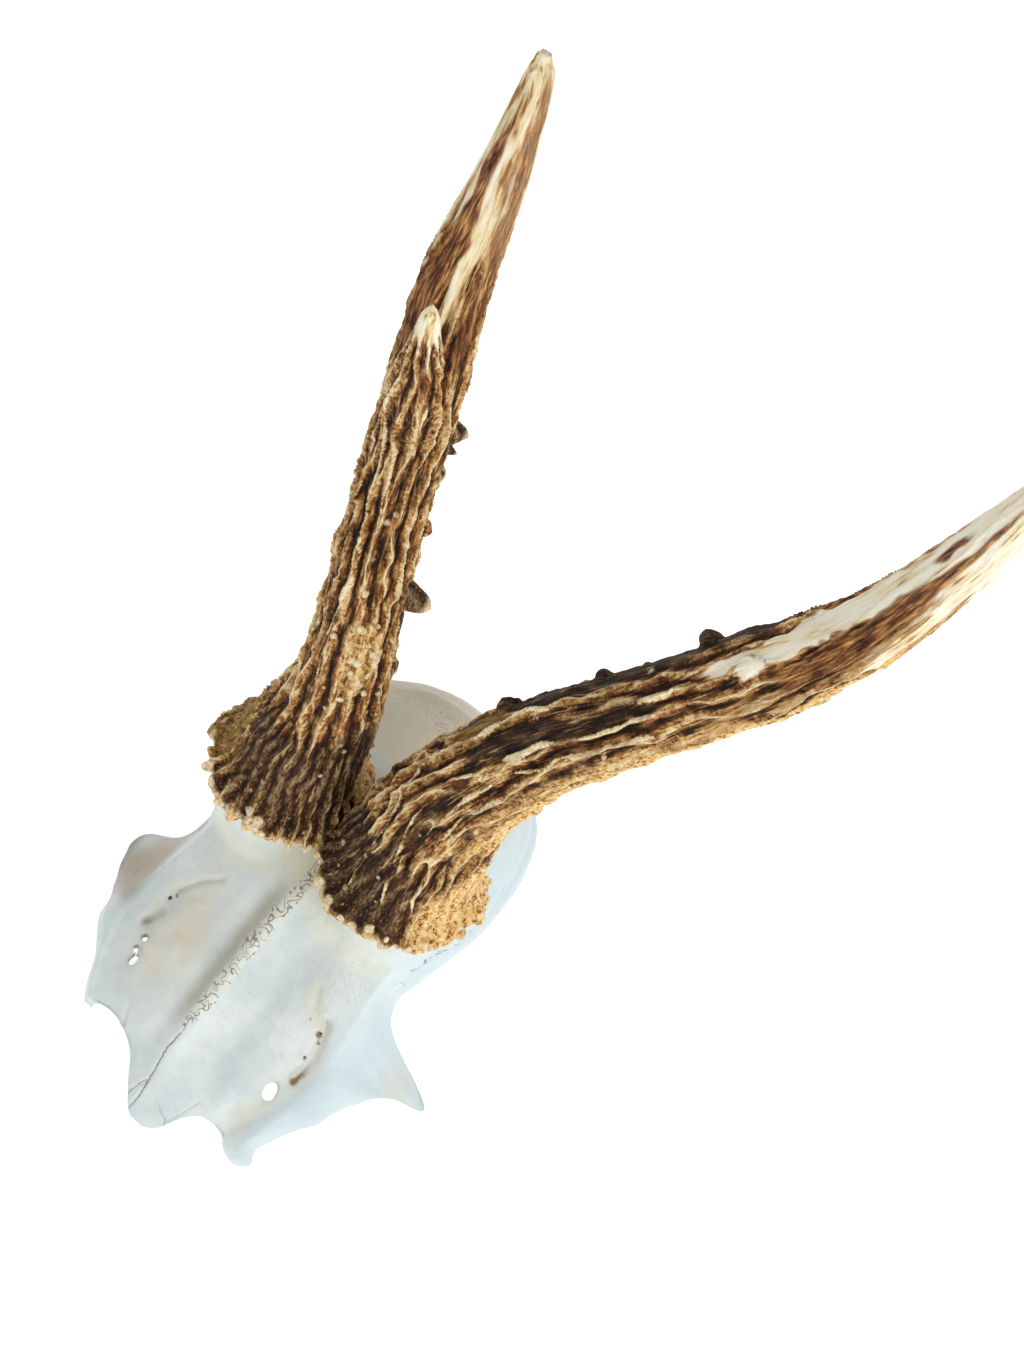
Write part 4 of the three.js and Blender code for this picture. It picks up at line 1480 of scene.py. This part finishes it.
    def pearls(self, points: Array, tints: dict[Tint, Array]) -> tuple[Array, Array]:
        """Scatters pearls: thick on the burr's rim and the pearly patches, thin up the beam.

        Args:
            points: The vertices.
            tints: The painted patches.

        Returns:
            Paleness from 0 to 1, and height in millimetres.
        """
        random = np.random.default_rng(self.seed)
        pale = np.zeros(len(points))
        height = np.zeros(len(points))
        dents = 0.22 * noise(points, 0.9, self.seed + 75)
        spots: list[tuple[float, float, float, float]] = []
        for _ in range(90):
            along, around = random.normal(0.2, 1.5), random.uniform(0, math.tau)
            spots.append((along, around, random.uniform(0.7, 1.5), 0.75))
        for _ in range(44):
            along, around = random.normal(0.6, 1.4), random.normal(0.0, 0.9)
            spots.append((along, around, random.uniform(0.7, 1.5), 1.0))
        for _ in range(70):
            along, around = random.uniform(4, 100), random.uniform(0, math.tau)
            spots.append((along, around, random.uniform(0.5, 1.1), 0.8))
        for patch in self.patches:
            if patch.tint is Tint.PEARLY:
                middle = self.track.length_at(patch.z)
                for _ in range(34):
                    along = middle + random.normal(0, patch.along * 0.5)
                    around = math.radians(patch.around) + random.normal(0, 0.32)
                    spots.append((along, around, random.uniform(0.5, 1.15), 1.0))
        for along, around, radius, colour in spots:
            where = np.array([along])
            turn = np.array([around])
            _, _, shaft = self.track.read(where)
            centre = self.track.point(where, turn, shaft + self.burr_rim(where, turn))[0]
            centre = self.pressed(centre[None, :])[0]
            near = np.linalg.norm((points - centre) * (1.0, 1.0, 0.75), axis=1) / radius + dents
            cap = np.sqrt(np.clip(1 - near**2, 0, 1))
            height = np.maximum(height, cap * radius * 0.62)
            chance = colour if random.uniform() < 0.62 else 0.2
            pale = np.maximum(pale, cap * chance)
        return pale, height

    def grain_space(self, track: Track, points: Array) -> Array:
        """Places round a straightened centre line, shortened, so that the grain runs along it."""
        length, angle, distance = track.locate(points)
        across, aside = np.cos(angle) * distance, np.sin(angle) * distance
        return np.stack([across, aside, length * self.along_grain], axis=1)

    def build(self) -> bpy.types.Object:
        """Builds the antler with its fine relief and painted values.

        Returns:
            The antler's object.
        """
        piece = self.rough_form()
        mesh = piece.data
        points = read_points(mesh)
        values = self.relief(points)
        moved = points + read_normals(mesh) * values.pop("height")[:, None]
        seat, axis = self.seat()
        under = np.maximum(0, self.seam - (moved - seat) @ axis)
        moved += under[:, None] * axis
        moved[:, 0] = np.clip(moved[:, 0], -self.side_limit, self.side_limit)
        write_points(mesh, self.pressed(moved))
        grown, tined = self.grain_space(self.track, points), self.grain_space(self.tine, points)
        turned = values.pop("on_tine") * self.tine_grain
        paint(mesh, "fibre_mm", mix(grown, tined, turned[:, None]) + self.seed)
        for name, value in values.items():
            paint(mesh, name, value)
        return piece


def right_antler() -> Antler:
    """The animal's right antler, with the long front tine."""
    return Antler(
        name="antler_right_skin", node="right_antler", side=-1, seed=100, burr_radius=18.4, voxel_mm=0.4,
        tip_blunt=0.45,
        rows=(
            (-17.7, 0.8, 55.5, 14), (-17.5, 6, 71, 12.2), (-17.2, 12, 86.5, 9.4), (-20, 19, 102.5, 8),
            (-26.5, 32, 128.5, 7.1), (-32.6, 46.7, 152.7, 7.1), (-37.2, 56.6, 168, 6.6),
            (-40.5, 70.3, 186.5, 4.6), (-43.8, 80.2, 199, 2.9), (-45.4, 82.9, 203.6, 2.3),
        ),
        tine_rows=(
            (-29.5, 40, 141, 6.4), (-31.5, 42, 155, 5.2), (-33, 43.8, 168, 3.2), (-34.4, 46.0, 181.5, 1.3),
        ),
        thorns=(
            Thorn(113.5, 118, 5.6, 4.0, 0.45, 1.0), Thorn(146, 125, 3, 3.4, 0.2, 0.7),
            Thorn(143.5, 118, 2.6, 1.6, 0.4, 1.0), Thorn(138.5, 118, 2.0, 2.2, 0.4, 0.9),
            Thorn(127.5, 120, 1.8, 2.4), Thorn(96.5, 110, 2, 3.2, 0.3, 0.7), Thorn(87, 80, 1.6, 3.0),
        ),
        patches=(
            # The gold patches are partly painted light on the sides facing the key light.
            Patch(Tint.PEARLY, 103, 48, 13, 6.0), Patch(Tint.GOLDEN, 102, 48, 12, 5.5, 0.5),
            # The greenish-brown patch at -84 degrees is painted shade on the side facing away from the key
            # light.
            Patch(Tint.OLIVE, 61, -84, 12, 13), Patch(Tint.GOLDEN, 62, 116, 9, 7),
            Patch(Tint.DUSK, 74, 74, 13, 9, 0.75), Patch(Tint.DUSK, 112, 116, 9, 4.5, 0.8),
            Patch(Tint.DUSK, 143, 122, 7, 4, 0.8), Patch(Tint.DUSK, 68, 12, 14, 18, 0.75),
        ),
        streaks=(
            Streak(Tint.RIB, ((96, -5, 0.3), (108, -6, 0.35), (113, 0, 0.6), (119, 6, 0.6), (129, 6, 0.4),
                              (140, 3, 0.6), (150, -2, 0.45), (161, 3, 0.4))),
            Streak(Tint.RIB, ((124, 29, 0.3), (135, 25, 0.4), (147, 20, 0.5), (156, 14, 0.3))),
            Streak(Tint.RIB, ((132, -24, 0.3), (142, -27, 0.4), (152, -25, 0.3), (160, -14, 0.3))),
            Streak(Tint.RIB, ((92, -46, 0.3), (101, -49, 0.35), (116, -28, 0.3)), 0.9),
            Streak(Tint.RIB, ((146, 47, 0.35), (152, 42, 0.4), (160, 36, 0.35))),
            # painted shade on the side facing away from the key light
            Streak(Tint.OLIVE, ((120, -95, 3), (140, -95, 3), (165, -80, 3), (180, -80, 2)), 0.8),
            # painted light on the side facing the key light
            Streak(Tint.GOLDEN, ((172, 104, 1.6), (184, 96, 1.4), (196, 96, 1.0)), 0.5),
            Streak(Tint.POLISH, ((169, 31, 0.8), (181, 29, 1.6), (192, 23, 2.3), (204, 10, 3.2))),
            Streak(Tint.POLISH, ((176, -62, 1.2), (190, -58, 2.0), (204, -50, 2.6)), 0.85),
            Streak(Tint.DUSK, ((158, -32, 2.2), (167, -24, 2.6), (176, -14, 1.4)), 0.9),
            Streak(Tint.STAIN, ((160, -28, 2.6), (172, -22, 3.0), (182, -6, 2.0), (193, -6, 0.8),
                                (199, -8, 0.4))),
            Streak(Tint.STAIN, ((182, 52, 0.3), (190, 46, 0.5), (198, 40, 0.3)), 0.8),
            Streak(Tint.STAIN, ((160, 92, 3.4), (178, 76, 2.6), (190, 74, 1.8), (202, 72, 1.2)), 0.68),
            Streak(Tint.STAIN, ((163, 200, 3.0), (185, 190, 1.4)), 0.7),
        ),
    )


def left_antler() -> Antler:
    """The animal's left antler, with the short stout front tine."""
    return Antler(
        name="antler_left_skin", node="left_antler", side=1, seed=500, burr_radius=19.0, tine_polish=0.34,
        tine_plain=0.3, tine_grain=0.0, tip_plain=0.2, side_limit=65.5,
        rows=(
            (13.7, 0.5, 54.4, 15.4), (14.1, 6.3, 72.3, 13.6), (16, 12.5, 88, 11.4), (23.5, 23.2, 111, 9.6),
            (35.7, 34.6, 132.9, 8.5), (47.1, 46.6, 152.5, 8.2), (56.2, 58.4, 170.5, 6.3),
            (60.6, 71, 187.5, 4.8), (63, 82.9, 201.9, 2.6), (63.8, 86.5, 206.5, 1.6),
        ),
        tine_rows=(
            (43, 42.5, 145, 5.6), (43.8, 42.6, 152, 4.4), (44.6, 42.8, 157.5, 3.2), (45.1, 43, 161, 2.0),
        ),
        thorns=(
            Thorn(108, -110, 2.4, 4.0), Thorn(126, -125, 1.8, 3.0), Thorn(146, -120, 3.0, 3.4),
            Thorn(82, -80, 2.0, 3.4),
        ),
        patches=(
            # The gold flare and patches are partly painted light on the sides facing the key light.
            Patch(Tint.GOLDEN, 60, 82, 18, 14), Patch(Tint.GOLDEN, 84, 52, 9, 4, 0.4),
            # The greenish-brown patch at -80 degrees is painted shade on the side facing away from the key
            # light.
            Patch(Tint.DUSK, 62, -16, 14, 18, 0.9), Patch(Tint.OLIVE, 104, -80, 9, 4, 0.6),
            Patch(Tint.DUSK, 68, 101, 2.4, 2.4, 1.0),
        ),
        streaks=(
            # The gold streaks are partly painted light along the side facing the key light.
            Streak(Tint.GOLDEN, ((84, 66, 4), (100, 62, 4.2), (130, 62, 3.6), (150, 58, 2.6),
                                 (178, 74, 2)), 0.75),
            Streak(Tint.GOLDEN, ((92, 38, 3), (110, 36, 3.5), (135, 32, 3.5), (150, 26, 3)), 0.42),
            Streak(Tint.POLISH, ((141, 24, 2), (149, 14, 4), (158, 8, 4), (165, 2, 3)), 0.2),
            Streak(Tint.DUSK, ((96, -100, 2), (110, -104, 3), (140, -122, 5), (160, -112, 3.4)), 1.0),
            Streak(Tint.DUSK, ((106, -50, 1.6), (116, -46, 2.8), (130, -42, 2.8), (143, -44, 1.2)), 1.0),
            Streak(Tint.DUSK, ((76, -8, 1.6), (94, -14, 1.6), (104, -20, 1.0)), 0.8),
            Streak(Tint.RIB, ((106, -66, 0.5), (111, -69, 0.9), (119, -74, 0.8), (128, -72, 0.4))),
            Streak(Tint.RIB, ((96, -34, 0.3), (105, -32, 0.4), (113, -28, 0.7), (124, -29, 0.6),
                              (134, -27, 0.7), (142, -30, 0.4))),
            Streak(Tint.RIB, ((88, 4, 0.3), (98, -6, 0.4), (106, -10, 0.6), (117, -11, 0.45),
                              (128, -8, 0.55), (139, -2, 0.4))),
            Streak(Tint.RIB, ((66, 36, 0.35), (77, 28, 0.45), (89, 17, 0.4), (99, 6, 0.4),
                              (109, 10, 0.35))),
            Streak(Tint.RIB, ((66, 14, 0.35), (79, -3, 0.4), (87, -13, 0.35), (98, -34, 0.35)), 0.9),
            Streak(Tint.RIB, ((64, -20, 0.3), (77, -29, 0.35), (86, -38, 0.35), (94, -66, 0.35)), 0.9),
            Streak(Tint.RIB, ((106, 34, 0.3), (122, 32, 0.4), (140, 26, 0.35), (158, 22, 0.3)), 0.9),
            Streak(Tint.RIB, ((140, -50, 0.6), (146, -52, 0.7), (151, -64, 0.5)), 0.9),
            Streak(Tint.POLISH, ((152, -58, 1.0), (162, -60, 2.2), (170, -68, 3.2), (188, -54, 3.0),
                                 (206, -46, 2.6))),
            Streak(Tint.POLISH, ((166, 44, 0.8), (182, 35, 1.8), (204, 20, 3.0)), 0.75),
            Streak(Tint.STAIN, ((160, -20, 2.4), (168, -14, 2.8), (180, -22, 1.9), (188, -8, 0.9),
                                (200, -4, 0.5)), 0.85),
            Streak(Tint.STAIN, ((186, -48, 0.4), (189, -46, 0.8), (192, -44, 0.4)), 0.9),
            Streak(Tint.STAIN, ((160, -125, 2.6), (172, -112, 1.6)), 0.9),
            Streak(Tint.STAIN, ((163, 170, 3.0), (185, 175, 1.4)), 0.7),
        ),
    )


# The studio


@dataclass(frozen=True)
class Softbox:
    """A soft light: where it stands, what it looks at, its side in metres and its strength in watts."""

    name: str
    place: tuple[float, float, float]
    side: float
    watts: float
    colour: str = "#ffffff"


@dataclass
class Studio:
    """The pale floor, the soft lights and the camera at the photograph's angle."""

    camera_mm: tuple[float, float, float] = (55.5, -162.5, 521.3)
    camera_turn: tuple[float, float, float] = (18.109, -7.753, 40.317)
    lens_mm: float = 60.24
    boxes: tuple[Softbox, ...] = (
        Softbox("key", (0.8, -0.16, 0.78), 0.55, 5.3, "#fffcf8"),
        Softbox("front", (-0.1, -0.75, 0.55), 0.5, 0.7),
    )
    sensor_mm: float = 36.0
    aim: tuple[float, float, float] = (0.0, -0.02, 0.08)
    room_colour: str = "#f5f8fb"
    room_strength: float = 0.62

    def add_camera(self) -> None:
        """Makes the camera where the photograph was taken from."""
        data = bpy.data.cameras.new("photo_camera")
        data.sensor_width = self.sensor_mm
        data.lens = self.lens_mm
        camera = bpy.data.objects.new("photo_camera", data)
        camera.location = Vector(self.camera_mm) * MM
        camera.rotation_euler = Euler([math.radians(turn) for turn in self.camera_turn])
        bpy.context.scene.collection.objects.link(camera)
        bpy.context.scene.camera = camera

    def add_lights(self) -> None:
        """Makes the soft boxes and the white room."""
        for box in self.boxes:
            data = bpy.data.lights.new(box.name, "AREA")
            data.size = box.side
            data.energy = box.watts
            data.color = linear(box.colour)[:3]
            light = bpy.data.objects.new(box.name, data)
            light.location = box.place
            aim = Vector(self.aim) - Vector(box.place)
            light.rotation_euler = aim.to_track_quat("-Z", "Y").to_euler()
            bpy.context.scene.collection.objects.link(light)
        world = bpy.data.worlds.new("white_room")
        world.use_nodes = True
        sky = world.node_tree.nodes["Background"]
        sky.inputs["Color"].default_value = linear(self.room_colour)
        sky.inputs["Strength"].default_value = self.room_strength
        bpy.context.scene.world = world
        bpy.context.scene.view_settings.view_transform = "Standard"

    def add_floor(self) -> None:
        """Makes the plain pale floor that the skull cap rests on."""
        bm = bmesh.new()
        bmesh.ops.create_grid(bm, x_segments=1, y_segments=1, size=4.0)
        floor = new_object("floor", bm)
        brush = Brush("paper_matt_white")
        for name, value in (
            ("Base Color", linear("#f7f7f6")), ("Roughness", 0.9),
            ("Emission Color", linear("#ffffff")), ("Emission Strength", 0.55),
        ):
            brush.surface[name].default_value = value
        floor.data.materials.append(brush.material)


def dress(piece: bpy.types.Object, material: bpy.types.Material, node: str) -> None:
    """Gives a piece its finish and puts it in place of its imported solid.

    Args:
        piece: The finished piece.
        material: Its finish.
        node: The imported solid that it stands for.
    """
    piece.data.materials.clear()
    piece.data.materials.append(material)
    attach(piece, "root")
    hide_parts(node)
    LOG.info("%s: %d faces", piece.name, len(piece.data.polygons))


def main() -> None:
    """Builds the studio, the two antlers and the skull cap, and reports each piece."""
    logging.basicConfig(level=logging.INFO, format="%(name)s: %(message)s")
    studio = Studio()
    studio.add_camera()
    studio.add_lights()
    studio.add_floor()
    antlers = [right_antler(), left_antler()]
    antler_finish = AntlerFinish().make()
    for antler in antlers:
        dress(antler.build(), antler_finish, antler.node)
    dress(SkullCap().build(antlers), BoneFinish().make(), "skull_cap")


if __name__ == "__main__":
    main()
